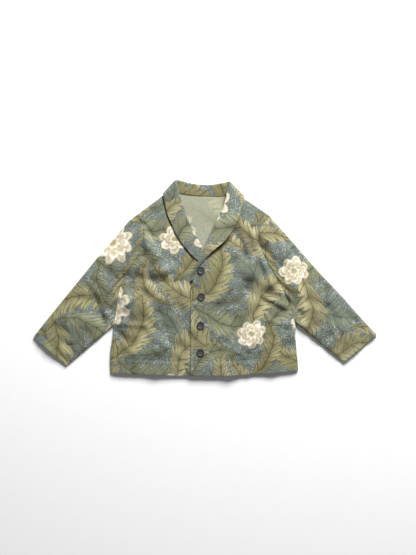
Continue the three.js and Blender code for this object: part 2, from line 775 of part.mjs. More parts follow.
// Button with a raised rim and a sunken middle with four thread holes
function buttonGeometry(wasm) {
  const profile = BUTTON_PROFILE.map(([radius, height]) => new THREE.Vector2(radius, height));
  const disc = new THREE.LatheGeometry(profile, BUTTON_SEGMENTS);
  disc.rotateX(Math.PI / 2);
  let solid = solidFrom(wasm, disc);
  const { radius, circle, count, segments, length } = THREAD_HOLE;
  for (let i = 0; i < count; i += 1) {
    const angle = (Math.PI * (2 * i + 1)) / count;
    const hole = new THREE.CylinderGeometry(radius, radius, length, segments);
    hole.rotateX(Math.PI / 2);
    hole.translate(circle * Math.cos(angle), circle * Math.sin(angle), 0);
    solid = solid.subtract(solidFrom(wasm, hole));
  }
  return geometryFrom(solid);
}

// Height of the highest cloth under a button
function buttonSeat(x, y) {
  const heights = evenShares(SEAT_POINTS).map((t) => {
    const angle = 2 * Math.PI * t;
    const edgeX = x + BUTTON_RADIUS * Math.cos(angle);
    const edgeY = y + BUTTON_RADIUS * Math.sin(angle);
    return frontHeight('left', edgeX, edgeY);
  });
  return Math.max(...heights) + CLOTH / 2 + BUTTON_CLEARANCE;
}

function meshOf(name, geometry, look) {
  const mesh = new THREE.Mesh(geometry, new THREE.MeshStandardMaterial(look));
  mesh.name = name;
  return mesh;
}

function buildCloth(jacket) {
  const sheets = [
    backSheet(),
    frontSheet('right'),
    frontSheet('left'),
    sleeveSheet('right'),
    sleeveSheet('left'),
    collarSheet(),
  ];
  const sewn = sewnNormals(sheets);
  for (const sheet of sheets) {
    jacket.add(meshOf(sheet.name, wallGeometry(sheet, sewn), JACKET_CLOTH));
  }
}

function buildButtons(jacket, wasm) {
  const geometry = buttonGeometry(wasm);
  BUTTONS.forEach(([x, y], i) => {
    const button = meshOf(`button_${i + 1}`, geometry, BUTTON_PLASTIC);
    button.position.set(x, y, buttonSeat(x, y));
    jacket.add(button);
  });
}

const wasm = await Module();
wasm.setup();
const jacket = new THREE.Group();
buildCloth(jacket);
buildButtons(jacket, wasm);

export default jacket;
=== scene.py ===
"""A child's cotton jacket with a shawl collar, buttoned up and laid flat on its back.

The cloth is made here at a finer grain than the solids, on the same seam lines and heights.
Tables are in millimetres, in the jacket's own frame: X across with the wearer's left at +X,
Y up to the neck, Z up from the surface it lies on. Meshes are in metres.
"""
import math

import bmesh
import bpy
import numpy as np
from mathutils import Matrix, Vector, noise


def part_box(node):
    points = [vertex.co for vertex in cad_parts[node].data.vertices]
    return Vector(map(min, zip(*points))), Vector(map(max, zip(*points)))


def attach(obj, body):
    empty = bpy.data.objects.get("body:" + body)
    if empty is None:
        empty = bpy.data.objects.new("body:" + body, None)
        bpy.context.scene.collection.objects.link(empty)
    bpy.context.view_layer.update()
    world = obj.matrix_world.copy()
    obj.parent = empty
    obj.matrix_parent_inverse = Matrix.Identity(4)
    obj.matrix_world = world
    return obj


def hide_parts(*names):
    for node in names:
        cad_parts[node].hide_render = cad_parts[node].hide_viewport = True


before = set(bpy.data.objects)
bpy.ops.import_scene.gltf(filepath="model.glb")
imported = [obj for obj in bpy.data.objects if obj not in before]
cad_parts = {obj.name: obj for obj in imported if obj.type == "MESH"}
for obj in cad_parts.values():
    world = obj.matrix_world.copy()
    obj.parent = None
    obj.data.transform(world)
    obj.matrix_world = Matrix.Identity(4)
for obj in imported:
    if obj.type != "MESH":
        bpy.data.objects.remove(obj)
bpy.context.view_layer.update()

MM = 0.001

# Cloth
CLOTH = 1.4
COLLAR_CLOTH = 1.6
RIM_BEVEL = 0.35
RIM_ANGLE = 60  # degrees; sharper edges than this are cut edges of the cloth
WELD = 0.02  # points that lie closer are one point

# Heights of the middle of the cloth above the surface
FLOOR_LEVEL = CLOTH / 2
SEAM_LEVEL = 4.2
FRONT_LEVELS = [(-196, 7.2), (-110, 8.8), (-20, 9.6), (60, 10.2), (180, 9.4)]  # y, height
FRONT_ROLL = 11  # width of the round at a side seam
BACK_ROLL = 5
SHOULDER_WRAP = 5  # how far the cloth turns out round the shoulder fold
NECK_RAISE = 2.1
NECK_RAISE_FULL = 29
NECK_RAISE_END = 64
RIPPLE = {"height": 0.5, "across": 84, "along": 132, "still": 26, "full": 70}
REST_PLACE = (0, -60)
OVERLAP = {"lift": 2.4, "full": 18, "end": 74, "low": 62, "high": 112}
CROSSING = {"lift": 3.1, "x": 2, "y": 28, "half_width": 26, "half_height": 50}
SLEEVE_LEVELS = [(0, 8.8, 1.0), (0.35, 8.6, 2.2), (0.7, 7.8, 2), (1, 6.2, 1)]  # share, height, crown
SLEEVE_BLEND = 0.22  # share of the sleeve that leads from the armhole's own heights to these
SLEEVE_CALM = 14  # width of the strip beside the fold along the top that has no creases

# Folds and creases of the front: x1, y1, x2, y2, half width, height
FOLDS = [
    (-124, 92, -98, 16, 13, 1.5),
    (-160, -24, -112, -70, 12, 1.6),
    (-96, -196, -88, -128, 17, 1.2),
    (-58, -30, -96, 40, 15, 0.9),
    (104, 84, 80, -6, 14, 1.4),
    (150, -26, 92, 6, 13, 1.4),
    (104, -52, 78, -128, 15, 1.0),
    (48, -196, 54, -140, 17, 1.3),
    (130, -196, 138, -150, 15, 1.0),
    (-176, 62, -192, -64, 13, 1.5),
    (-214, 10, -240, -92, 13, 1.3),
    (-262, -50, -290, -112, 12, 0.9),
    (166, 60, 194, -60, 13, 1.5),
    (212, 2, 230, -84, 13, 1.4),
    (262, -58, 282, -116, 12, 0.9),
]
CREASES = [
    (-158, 4, -62, -10, 10, -1.5),
    (-123, 108, -107, 82, 5, -1.4),
    (-80, 2, -66, 9, 6, -0.8),
    (62, 92, 82, 40, 8, -1.5),
    (98, 98, 110, 63, 5, -1.4),
    (62, 4, 128, -31, 12, -0.8),
    (84, -24, 150, -62, 9, -1.0),
    (0, -124, 28, -150, 13, -1.0),
    (30, -60, 76, -96, 12, -0.8),
    (-108, -70, -50, -62, 13, -0.8),
    (-60, -148, -30, -120, 12, -0.7),
    (96, -150, 130, -118, 12, -0.8),
    (-236, -20, -214, -62, 9, -0.9),
    (216, -46, 246, -58, 9, -0.9),
    (-176, -104, -152, -132, 9, -1.0),
    (-164, 12, -176, -46, 6, -0.8),
    (148, 6, 170, -50, 6, -0.8),
    (-166, -62, -134, -34, 6, 1.1),
    (-150, -4, -128, 34, 5, 0.9),
    (-120, 100, -116, 60, 6, 0.8),
    (-84, 60, -104, 4, 6, 0.7),
    (-170, -90, -120, -96, 6, 0.9),
    (-140, -186, -132, -140, 7, 0.6),
    (-30, -186, -34, -150, 8, 0.6),
    (134, -14, 112, 40, 5, 1.1),
    (160, -58, 116, -36, 6, 1.2),
    (168, -92, 124, -84, 6, 0.8),
    (94, 96, 100, 60, 6, 0.9),
    (70, 30, 64, -40, 8, 0.6),
    (86, -186, 92, -150, 7, 0.7),
    (-148, 96, -166, 40, 6, 0.9),
    (-190, 58, -222, 20, 6, 0.8),
    (-200, -70, -214, -30, 6, 0.8),
    (-246, -80, -262, -122, 6, 0.8),
    (146, 86, 158, 34, 6, 0.9),
    (186, 48, 214, 14, 6, 0.8),
    (196, -62, 206, -20, 6, 0.8),
    (244, -70, 262, -118, 6, 0.8),
]
FOLD_DEPTH = 3.1
GRAIN = [(62, 34, 7.0), (28, 16, 2.7), (10, 9, 0.55)]  # length, width and height of the unevenness
GRAIN_LEAN = {"right": 0.9, "left": -0.9}  # radians; slack runs down and out from the neck
NECK_CALM = {"still": 14, "full": 70, "share": 0.2}  # less of it beside the lapels
PLACKET = {"x": -9.5, "still": 14, "full": 42, "share": 0.25}  # the faced front edges lie flatter
HEM_CALM = {"still": 0, "full": 44, "share": 0.35}  # the turned up hem is stiffer
LOWEST_TOP = 3.6  # the upper layer stays above the back

# Corners that several pieces share, in plan
UNDERARM = {"right": (-182.4, -92.8), "left": (180.2, -88.8)}
SHOULDER_END = {"right": (-133.4, 122.4), "left": (125.8, 120.3)}
NECK_END = {"right": (-65.9, 172.5), "left": (57, 167.4)}
HEM_CORNER = {"right": (-188.8, -189.4), "left": (185.8, -185)}
HEM_MIDDLE = {"right": (12.6, -195.4), "left": (-29, -195.6)}
HEM_LINE = np.array([
    HEM_CORNER["right"], (-60, -194.6), HEM_MIDDLE["right"], (50, -194.8), HEM_CORNER["left"],
])

# Plan lines of each half, in the view from above
HALVES = {
    "right": {
        "sign": -1,
        "sleeve_top": [
            (-136.4, 126.4), (-150.4, 115.6), (-164.4, 100.4), (-184.4, 76.4), (-212.4, 44.4),
            (-238.4, 12.4), (-264.4, -19.6), (-290.4, -51.6), (-316.4, -83.6), (-343.4, -117.6),
        ],
        "sleeve_under": [UNDERARM["right"], (-278, -174.8)],
        "armhole": [
            SHOULDER_END["right"], (-124.4, 99), (-128.4, 66.4), (-142.4, 32.4), (-163, -1),
            (-170.6, -22), (-175, -46), UNDERARM["right"],
        ],
        "armhole_back": [
            SHOULDER_END["right"], (-131, 92), (-138, 52), (-152, 10), (-164, -30), (-172, -62),
            UNDERARM["right"],
        ],
        "side": [UNDERARM["right"], (-184.6, -116), (-188.6, -144), (-189.6, -170), HEM_CORNER["right"]],
        "hem": [HEM_CORNER["right"], (-150, -191.6), (-110, -192.8), (-60, -194.6), HEM_MIDDLE["right"]],
        "front_edge": [HEM_MIDDLE["right"], (12.6, -18)],
    },
    "left": {
        "sign": 1,
        "sleeve_top": [
            (128.6, 124.4), (147.6, 102), (163.6, 84.4), (191.6, 52.4), (219.6, 20.4),
            (249.6, -11.6), (279.6, -43.6), (307.6, -75.6), (343.4, -113.4),
        ],
        "sleeve_under": [UNDERARM["left"], (277.8, -168.6)],
        "armhole": [
            SHOULDER_END["left"], (109, 96), (109.6, 66.4), (125, 32), (148, -8), (166, -46),
            UNDERARM["left"],
        ],
        "armhole_back": [
            SHOULDER_END["left"], (121, 92), (128, 52), (144, 8), (160, -34), (172, -64),
            UNDERARM["left"],
        ],
        "side": [UNDERARM["left"], (180.4, -116), (182.4, -144), (184.6, -168), HEM_CORNER["left"]],
        "hem": [HEM_CORNER["left"], (150, -188.4), (104, -192), (50, -194.8), HEM_MIDDLE["left"]],
        "front_edge": [HEM_MIDDLE["left"], (-28.8, -17)],
    },
}

# Collar stations from the tip of each lapel up to the shoulder:
# roll x, y, seam x, y, outer edge x, y, lift of the edge over the front, roll radius
LAPELS = {
    "right": [
        (13, -6, 8.3, -7.2, 8.4, -5.6, 2.8, 1.3),
        (10.5, 12, 4.5, 9.5, 1.8, 12.8, 2.8, 1.3),
        (4.6, 34.4, -3.2, 31, -10.6, 32, 2.8, 1.35),
        (-3, 55, -11.8, 49.8, -26, 45.5, 2.8, 1.45),
        (-12, 71.6, -21, 66.3, -42, 65, 3, 1.7),
        (-25, 97, -34.5, 91, -56.6, 86.6, 3, 2),
        (-36.5, 120, -46.5, 113, -67.4, 109.6, 2.8, 2.2),
        (-43.6, 143, -54.5, 135.5, -74.9, 127, 2.6, 2.2),
        (-49.6, 160, -61, 152, -79.4, 144.6, 2.5, 2.2),
        (-54, 177, -65.2, 164, -82.2, 158.4, 2.5, 2.2),
        (-57, 189, *NECK_END["right"], -83.4, 163.8, 2.4, 2.2),
    ],
    "left": [
        (-28.6, -5, -24, -6.4, -24.4, -3.4, 2.8, 1.3),
        (-23, 14.5, -17.5, 12.2, -17.4, 17, 3.2, 1.4),
        (-15.5, 31, -9, 28.5, -5.6, 32.5, 4.4, 1.7),
        (-6.5, 47.5, 1.5, 44.5, 6.4, 45.2, 5.8, 2),
        (1.5, 67, 11, 63, 21, 59, 7.4, 2.3),
        (11, 87.5, 20.5, 82, 37.4, 72.8, 8.8, 2.6),
        (19.4, 107.2, 29, 102, 51.4, 90, 9.4, 2.7),
        (28.6, 125.5, 39.5, 118.5, 62.4, 110, 8.6, 2.6),
        (36.4, 142, 47, 134.5, 69.2, 127, 6.6, 2.4),
        (41.6, 160, 52, 151, 73.6, 143.4, 4.8, 2.2),
        (44.4, 177, 56, 161.5, 76, 154, 3.2, 2.2),
        (47.2, 187, *NECK_END["left"], 76.7, 159, 2.4, 2.2),
    ],
}
LAPEL_BULGE = 1.1
BULGE_WIDTHS = (8, 26)  # widths of lapel at which that starts and is full
COLLAR_CLEARANCE = 2.4  # middle of the collar's edge over the middle of the cloth below it

# Collar round the shoulder fold: roll x, y, edge x, y
COLLAR_TURN = {
    "right": [
        (-57.4, 192.4, -84.4, 166.8),
        (-57, 194.9, -85, 168.8),
        (-54.6, 195.3, -84.8, 168),
        (-50.6, 194.9, -83, 164.6),
        (-46.4, 194.2, -79.6, 159),
    ],
    "left": [
        (48, 189.6, 77.6, 161.6),
        (47.4, 191.4, 78.2, 163.2),
        (45, 191.8, 77.8, 162),
        (41.4, 191.6, 75.8, 158.4),
        (37.6, 191, 72.4, 153.6),
    ],
}
NECK_SEAM = [NECK_END["right"], (-44, 166.8), (-4.4, 163.4), (36, 163.2), NECK_END["left"]]
NECK_ROLL = [(-46.4, 194.2), (-28, 189.4), (-4.4, 187), (18, 187.4), (37.6, 191)]
NECK_EDGE = [(-79.6, 159), (-48, 145), (-4.4, 140), (38, 140.6), (72.4, 153.6)]
NECK_ROLL_RADIUS = 2.2
COLLAR_REST = COLLAR_CLOTH / 2 + 0.02

# Mesh spacing
ROWS_SIDE = 60
ROWS_ARM = 88
EDGE_COLUMNS = (0, 0.3, 0.8, 1.5, 2.5, 3.7, 5.1, 6.7, 8.6, 10.8)  # distances in from a side seam
FRONT_COLUMNS = 100
NECK_COLUMNS = 34
WRAP_STEPS = 8
SLEEVE_ROWS = 96
TURN_STEPS = 12
FALL_STEPS = 20
ROLL_STEPS = 10
LEG_STEPS = 5
CURVE_STEPS = 600
SIDE_STEPS = 9
ARMHOLE_STEPS = 60
HEM_STEPS = 40
STITCH_LINE_POINTS = 90

# Sewing
SEAM_DIP = 0.9  # how far the cloth is drawn down at a sewn seam
SEAM_DIP_WIDTH = 1.8
SEAM_DRAW = 0.7  # shallow draw on both sides of it
SEAM_DRAW_WIDTH = 8
HEM_FOLD = 28  # depth of the turned up hem
HEM_ENDS = {"right": (-184.8, -31.4), "left": (-27, 181.8)}  # x where its stitches start and end
CUFF_FOLD = 14
CUFF_ENDS = (4, ROWS_ARM + 1)  # points of a sleeve's ring where its stitches start and end
EDGE_STITCH = 6  # front edge to its row of stitches
EDGE_ENDS = (-193.6, -16)  # y where that row starts and ends
EDGE_FADE = (-16, -10)  # y where its groove fades out
STITCH_HEIGHT = 0.15  # middle of a stitch over the cloth's top
CUFF_STITCH_HEIGHT = 0.1
GROOVE = 0.8  # depth of the line that a row of stitches pulls in
GROOVE_WIDTH = 2.0
PRESSED = {"right": (3.2, 4.5), "left": (6.0, 9)}  # depth and half width beside the lapel's outer edge
PRESSED_FROM = (34, 58)  # y where that starts and where it is full
STITCH = {"length": 2.3, "width": 0.55, "pitch": 3.1}
BUTTONHOLE = {
    "start": -12, "end": 5.6, "points": 30, "half": 1.0, "height": 0.05, "length": 1.5, "pitch": 0.62,
}
BUTTONHOLE_BAR = {"shifts": (-0.1, 0.4), "half": 1.6, "length": 1.4, "pitch": 1.0}
# size of the dark marks down each slit: painted shadow of the buttonhole's opening
SLIT_SHADOW_MARKS = {"length": 1.9, "pitch": 1.4}

# Where each piece was cut from the print
CUT_FROM = {
    "front_right": (0, 0), "front_left": (97, 41), "sleeve_right": (60, 20),
    "sleeve_left": (150, 110), "collar": (30, 15),
}


def smooth(low, high, value):
    """0 below low, 1 above high, and an even ease between them."""
    t = np.clip((value - low) / (high - low), 0, 1)
    return t * t * (3 - 2 * t)


def rounded(share):
    """Quarter round that rises from 0 at the edge to 1."""
    t = np.clip(share, 0, 1)
    return np.sqrt(1 - (1 - t) ** 2)


def mix(a, b, t):
    return a + (b - a) * t


def table_at(rows, place):
    """Second column of a table, eased between its rows."""
    found = np.full(np.shape(place), float(rows[0][1]))
    for (low, _), (high, value) in zip(rows, rows[1:]):
        found = mix(found, value, smooth(low, high, place))
    return found


def even(count):
    return np.linspace(0, 1, count + 1)


def eased(count):
    """Shares that lie closer together at both ends."""
    return (1 - np.cos(math.pi * even(count))) / 2


def curve_at(points, places):
    """Points on the smooth curve through these, at places from 0 to 1 in steps of its own."""
    p = np.asarray(points, float)
    padded = np.vstack([2 * p[0] - p[1], p, 2 * p[-1] - p[-2]])
    where = np.clip(places, 0, 1) * (len(p) - 1)
    step = np.minimum(where.astype(int), len(p) - 2)
    t = (where - step)[:, None]
    p0, p1, p2, p3 = (padded[step + k] for k in range(4))
    gaps = [np.linalg.norm(b - a, axis=1)[:, None] for a, b in ((p0, p1), (p1, p2), (p2, p3))]
    d0, d1, d2 = (np.sqrt(np.maximum(gap, 1e-4)) for gap in gaps)
    out_of = ((p1 - p0) / d0 - (p2 - p0) / (d0 + d1) + (p2 - p1) / d1) * d1
    into = ((p2 - p1) / d1 - (p3 - p1) / (d1 + d2) + (p3 - p2) / d2) * d1
    bend = (t**3 - 2 * t**2 + t) * out_of + (t**3 - t**2) * into
    return (2 * t**3 - 3 * t**2 + 1) * p1 + (3 * t**2 - 2 * t**3) * p2 + bend


def lengths_along(line):
    steps = np.linalg.norm(np.diff(line, axis=0), axis=1)
    return np.concatenate([[0], np.cumsum(steps)])


def points_at(line, lengths, stations):
    """Points of a line of straight steps at these distances along it."""
    return np.stack([np.interp(stations, lengths, values) for values in line.T], axis=1)


def shares_along(line):
    lengths = lengths_along(line)
    return lengths / lengths[-1]


def places_at(points, shares):
    """Places on a curve that lie at these shares of its length."""
    places = np.linspace(0, 1, CURVE_STEPS + 1)
    lengths = lengths_along(curve_at(points, places))
    return np.interp(np.asarray(shares) * lengths[-1], lengths, places)


def along(points, shares):
    return curve_at(points, places_at(points, shares))


def distance_to_line(xy, line):
    line = np.asarray(line, float)
    best = np.full(xy.shape[:-1], np.inf)
    for a, b in zip(line, line[1:]):
        d = b - a
        t = np.clip(((xy - a) @ d) / (d @ d), 0, 1)
        away = xy - a - t[..., None] * d
        best = np.minimum(best, np.hypot(away[..., 0], away[..., 1]))
    return best


def fold_height(xy):
    height = np.zeros(xy.shape[:-1])
    for x1, y1, x2, y2, half, rise in FOLDS + CREASES:
        share = distance_to_line(xy, [(x1, y1), (x2, y2)]) / half
        height += FOLD_DEPTH * rise * np.exp(-(share**2))
    return height


def calmed(calm, distance):
    """Share of the unevenness that is left at this distance from where the cloth lies flatter."""
    return mix(calm["share"], 1, smooth(calm["still"], calm["full"], distance))


def grain_height(side, xy):
    """Small slack and unevenness of cloth that has been worn and washed."""
    lean = GRAIN_LEAN[side]
    turn = np.array([[math.cos(lean), math.sin(lean)], [-math.sin(lean), math.cos(lean)]])
    flat = xy.reshape(-1, 2) @ turn
    height = np.zeros(len(flat))
    for layer, (length, width, rise) in enumerate(GRAIN):
        values = [noise.noise(Vector((x / length, y / width, 3.0 + layer))) for x, y in flat]
        height += rise * np.array(values)
    from_neck = distance_to_line(xy, [row[2:4] for row in LAPELS[side]])
    left = calmed(NECK_CALM, from_neck) * calmed(PLACKET, np.abs(xy[..., 0] - PLACKET["x"]))
    return height.reshape(xy.shape[:-1]) * left * calmed(HEM_CALM, hem_height(xy))


SIDE_LINES = {side: along(HALVES[side]["side"][::-1], even(SIDE_STEPS)) for side in HALVES}
ARMHOLE_LINES = {side: along(HALVES[side]["armhole"][::-1], even(ARMHOLE_STEPS)) for side in HALVES}
LAPEL_EDGES = {side: [row[4:6] for row in LAPELS[side]] for side in HALVES}


def from_side_seam(side, xy):
    return distance_to_line(xy, SIDE_LINES[side])


def overlap_lift(xy):
    """Rise of the upper front over the under one, and over its lapel."""
    x, y = xy[..., 0], xy[..., 1]
    across = 1 - smooth(OVERLAP["full"], OVERLAP["end"], x)
    up = 1 - smooth(OVERLAP["low"], OVERLAP["high"], y)
    sideways = ((x - CROSSING["x"]) / CROSSING["half_width"]) ** 4
    lengthways = ((y - CROSSING["y"]) / CROSSING["half_height"]) ** 4
    return OVERLAP["lift"] * across * up + CROSSING["lift"] * np.exp(-sideways - lengthways)


def groove(distance):
    return GROOVE * np.exp(-((distance / GROOVE_WIDTH) ** 2))


def seam_dip(distance):
    narrow = SEAM_DIP * np.exp(-((distance / SEAM_DIP_WIDTH) ** 2))
    return narrow + SEAM_DRAW * np.exp(-((distance / SEAM_DRAW_WIDTH) ** 2))


def lapel_press(side, xy):
    """How far the lapel's outer edge presses the front down, from a little above the buttons up."""
    depth, half = PRESSED[side]
    share = distance_to_line(xy, LAPEL_EDGES[side]) / half
    return depth * np.exp(-(share**2)) * smooth(*PRESSED_FROM, xy[..., 1])


def hem_height(xy):
    """Distance in plan above the hem line of the front."""
    return xy[..., 1] - np.interp(xy[..., 0], HEM_LINE[:, 0], HEM_LINE[:, 1])


def front_height(side, xy, sewn=True):
    """Height of the middle of the front's cloth, with or without what the seams and rows of
    stitches pull in and the lapel's edge presses down."""
    top = table_at(FRONT_LEVELS, xy[..., 1]) + fold_height(xy) + grain_height(side, xy)
    top = np.maximum(top, LOWEST_TOP)
    if side == "left":
        top = top + overlap_lift(xy)
    if sewn:
        shoulder = [SHOULDER_END[side], NECK_END[side]]
        top = top - seam_dip(distance_to_line(xy, ARMHOLE_LINES[side]))
        top = top - seam_dip(distance_to_line(xy, shoulder))
        top = top - groove(np.abs(hem_height(xy) - HEM_FOLD))
        top = top - lapel_press(side, xy)
        if side == "left":
            edge = HEM_MIDDLE["left"][0] + EDGE_STITCH
            below = 1 - smooth(*EDGE_FADE, xy[..., 1])
            top = top - groove(np.abs(xy[..., 0] - edge)) * below
    return mix(SEAM_LEVEL, top, rounded(from_side_seam(side, xy) / FRONT_ROLL))


def ripple_height(xy):
    """Shallow ripples of the back, none where it rests."""
    fade = smooth(RIPPLE["still"], RIPPLE["full"], np.hypot(*(xy - REST_PLACE).T).T)
    turn = 2 * math.pi
    wave = np.sin(turn * xy[..., 0] / RIPPLE["across"]) * np.cos(turn * xy[..., 1] / RIPPLE["along"])
    return RIPPLE["height"] * fade * (1 + wave) / 2


def back_height(xy):
    raised = 1 - smooth(NECK_RAISE_FULL, NECK_RAISE_END, distance_to_line(xy, NECK_SEAM))
    level = FLOOR_LEVEL + NECK_RAISE * raised + ripple_height(xy)
    away = np.minimum(from_side_seam("right", xy), from_side_seam("left", xy))
    return mix(SEAM_LEVEL, level, rounded(away / BACK_ROLL))


def with_height(xy, z):
    return np.concatenate([xy, np.broadcast_to(z, xy.shape[:-1])[..., None]], axis=-1)


def shoulder_out(side):
    """Direction out of the jacket over the shoulder seam, in plan."""
    sign = HALVES[side]["sign"]
    line = np.subtract(SHOULDER_END[side], NECK_END[side])
    line = line / np.linalg.norm(line)
    return np.array([-line[1] * sign, line[0] * sign])


def edge_shares(columns, length):
    """Shares with close columns next to a side seam, from the seam inwards."""
    close = np.array(EDGE_COLUMNS) / length
    rest = columns - len(close) + 1
    return np.concatenate([close, mix(close[-1], 1, even(rest)[1:])])


def shoulder_seam(side):
    ends = np.array([SHOULDER_END[side], NECK_END[side]])
    length = np.linalg.norm(ends[1] - ends[0])
    return mix(ends[0], ends[1], edge_shares(FRONT_COLUMNS, length)[:, None])


def wrap_points(side, seam, turns):
    """Points round the shoulder fold at each seam point. turns run from the back, 0, to the front, 1."""
    low = back_height(seam)
    high = front_height(side, seam)
    angle = math.pi * (np.asarray(turns) - 0.5)
    reach = SHOULDER_WRAP * np.cos(angle)
    plan = seam[None, :, :] + reach[:, None, None] * shoulder_out(side)
    z = mix(low[None, :], high[None, :], ((1 + np.sin(angle)) / 2)[:, None])
    return with_height(plan, z)


def fill_grid(bottom, top, start, end):
    """Plan grid inside four boundary lines; rows run from bottom to top."""
    rows = [shares_along(line) for line in (start, end)]
    columns = [shares_along(line) for line in (bottom, top)]
    t = ((rows[0] + rows[1]) / 2)[:, None]
    s = mix(columns[0][None, :], columns[1][None, :], t)[..., None]
    t = t[..., None]
    grid = mix(bottom[None], top[None], t) + mix(start[:, None], end[:, None], s)
    return grid - mix(mix(bottom[0], bottom[-1], s), mix(top[0], top[-1], s), t)


def lapel_stations(side, shares):
    """Seam, roll and edge points of a lapel, with the lift of its edge and its roll's radius."""
    rows = np.array(LAPELS[side], float)
    places = places_at(rows[:, 2:4], shares)
    seam, roll, edge = (curve_at(rows[:, c:c + 2], places) for c in (2, 0, 4))
    stations = np.linspace(0, 1, len(rows))
    lift, radius = (np.interp(places, stations, rows[:, c]) for c in (6, 7))
    return seam, roll, edge, lift, radius


def front_grid(side):
    """Middle surface of one front, and its place on the print."""
    half = HALVES[side]
    side_rows = along(half["side"][::-1], even(ROWS_SIDE))
    arm_rows = along(half["armhole"][::-1], eased(ROWS_ARM))
    outer = np.vstack([side_rows, arm_rows[1:]])
    lapel = lapel_stations(side, even(ROWS_ARM))[0]
    edge = np.vstack([half["front_edge"], lapel[:1]])
    inner = np.vstack([points_at(edge, shares_along(edge), even(ROWS_SIDE)), lapel[1:]])
    length = lengths_along(along(half["hem"], even(HEM_STEPS)))[-1]
    bottom = along(half["hem"], edge_shares(FRONT_COLUMNS, length))
    plan = fill_grid(bottom, shoulder_seam(side), outer, inner)
    return with_height(plan, front_height(side, plan)), plan


def back_hem():
    line = HALVES["right"]["hem"][:-1] + HALVES["left"]["hem"][:-1][::-1]
    length = lengths_along(along(line, even(2 * HEM_STEPS)))[-1]
    columns = 2 * FRONT_COLUMNS + NECK_COLUMNS
    close = np.array(EDGE_COLUMNS) / length
    between = mix(close[-1], 1 - close[-1], even(columns - 2 * len(close) + 2)[1:-1])
    return along(line, np.concatenate([close, between, (1 - close)[::-1]]))


def back_grids():
    """Middle surfaces of the back and of its turns over the shoulders, and their places on the print."""
    lines = {}
    for side, half in HALVES.items():
        side_rows = along(half["side"][::-1], even(ROWS_SIDE))
        arm_rows = along(half["armhole_back"][::-1], eased(ROWS_ARM))
        lines[side] = np.vstack([side_rows, arm_rows[1:]])
    neck = along(NECK_SEAM, even(NECK_COLUMNS))[1:-1]
    seams = {"right": shoulder_seam("right"), "left": shoulder_seam("left")[::-1]}
    top = np.vstack([seams["right"], neck, seams["left"]])
    plan = fill_grid(back_hem(), top, lines["right"], lines["left"])
    grids = [(with_height(plan, back_height(plan)), plan)]
    for side, seam in seams.items():
        wrap = wrap_points(side, seam, even(WRAP_STEPS))
        around = SHOULDER_WRAP * math.pi * even(WRAP_STEPS)[:, None, None]
        grids.append((wrap, seam[None] + around * shoulder_out(side)))
    return grids


def armhole_ring(side):
    """Points where a sleeve is sewn in, from the underarm up the front, over the shoulder and
    down the back, each with its part of the tube, its place there and the dip of the seam."""
    half = HALVES[side]
    shares = eased(ROWS_ARM)
    front = along(half["armhole"][::-1], shares)
    back = along(half["armhole_back"][::-1], shares)[::-1]
    turns = even(WRAP_STEPS)[::-1][1:-1]
    wrap = wrap_points(side, np.array([SHOULDER_END[side]]), turns)[:, 0]
    high = front_height(side, front)
    points = np.vstack([with_height(front, high), wrap, with_height(back, back_height(back))])
    dips = front_height(side, front, sewn=False) - high
    dips = np.concatenate([dips, np.zeros(len(wrap) + len(back))])
    part = np.array(["front"] * len(front) + ["wrap"] * len(wrap) + ["back"] * len(back))
    place = np.concatenate([shares, math.pi * (turns - 0.5), shares[::-1]])
    return points, part, place, dips


def sleeve_places(part, place, width, top, crown):
    """Distance in from the upper edge, height, and share of the fold's height."""
    wrapped = part == "wrap"
    on_back = part == "back"
    from_under = place * (width - SHOULDER_WRAP)
    depth = np.where(wrapped, SHOULDER_WRAP * (1 - np.cos(place)), width - from_under)
    over = rounded(from_under / FRONT_ROLL)
    bulge = crown * np.sin(math.pi * np.clip(place, 0, 1))
    height = mix(SEAM_LEVEL, top + bulge, over)
    height = np.where(on_back, mix(SEAM_LEVEL, FLOOR_LEVEL, rounded(from_under / BACK_ROLL)), height)
    height = np.where(wrapped, mix(FLOOR_LEVEL, top, (1 + np.sin(place)) / 2), height)
    calm = smooth(SHOULDER_WRAP, SHOULDER_WRAP + SLEEVE_CALM, depth)
    on_top = np.where(wrapped | on_back, 0, over * calm)
    return depth, height, on_top


def sleeve_print(part, place, xy, fold, perp, run):
    """Place on the sleeve's cloth, opened out at the fold along its upper edge."""
    quarter = SHOULDER_WRAP * (math.pi / 2 - 1)
    edge = fold @ perp
    across = xy @ perp
    across = np.where(part == "back", 2 * edge - across - quarter, across + quarter)
    across = np.where(part == "wrap", edge + SHOULDER_WRAP * place, across)
    return np.stack([across, xy @ run], axis=1)


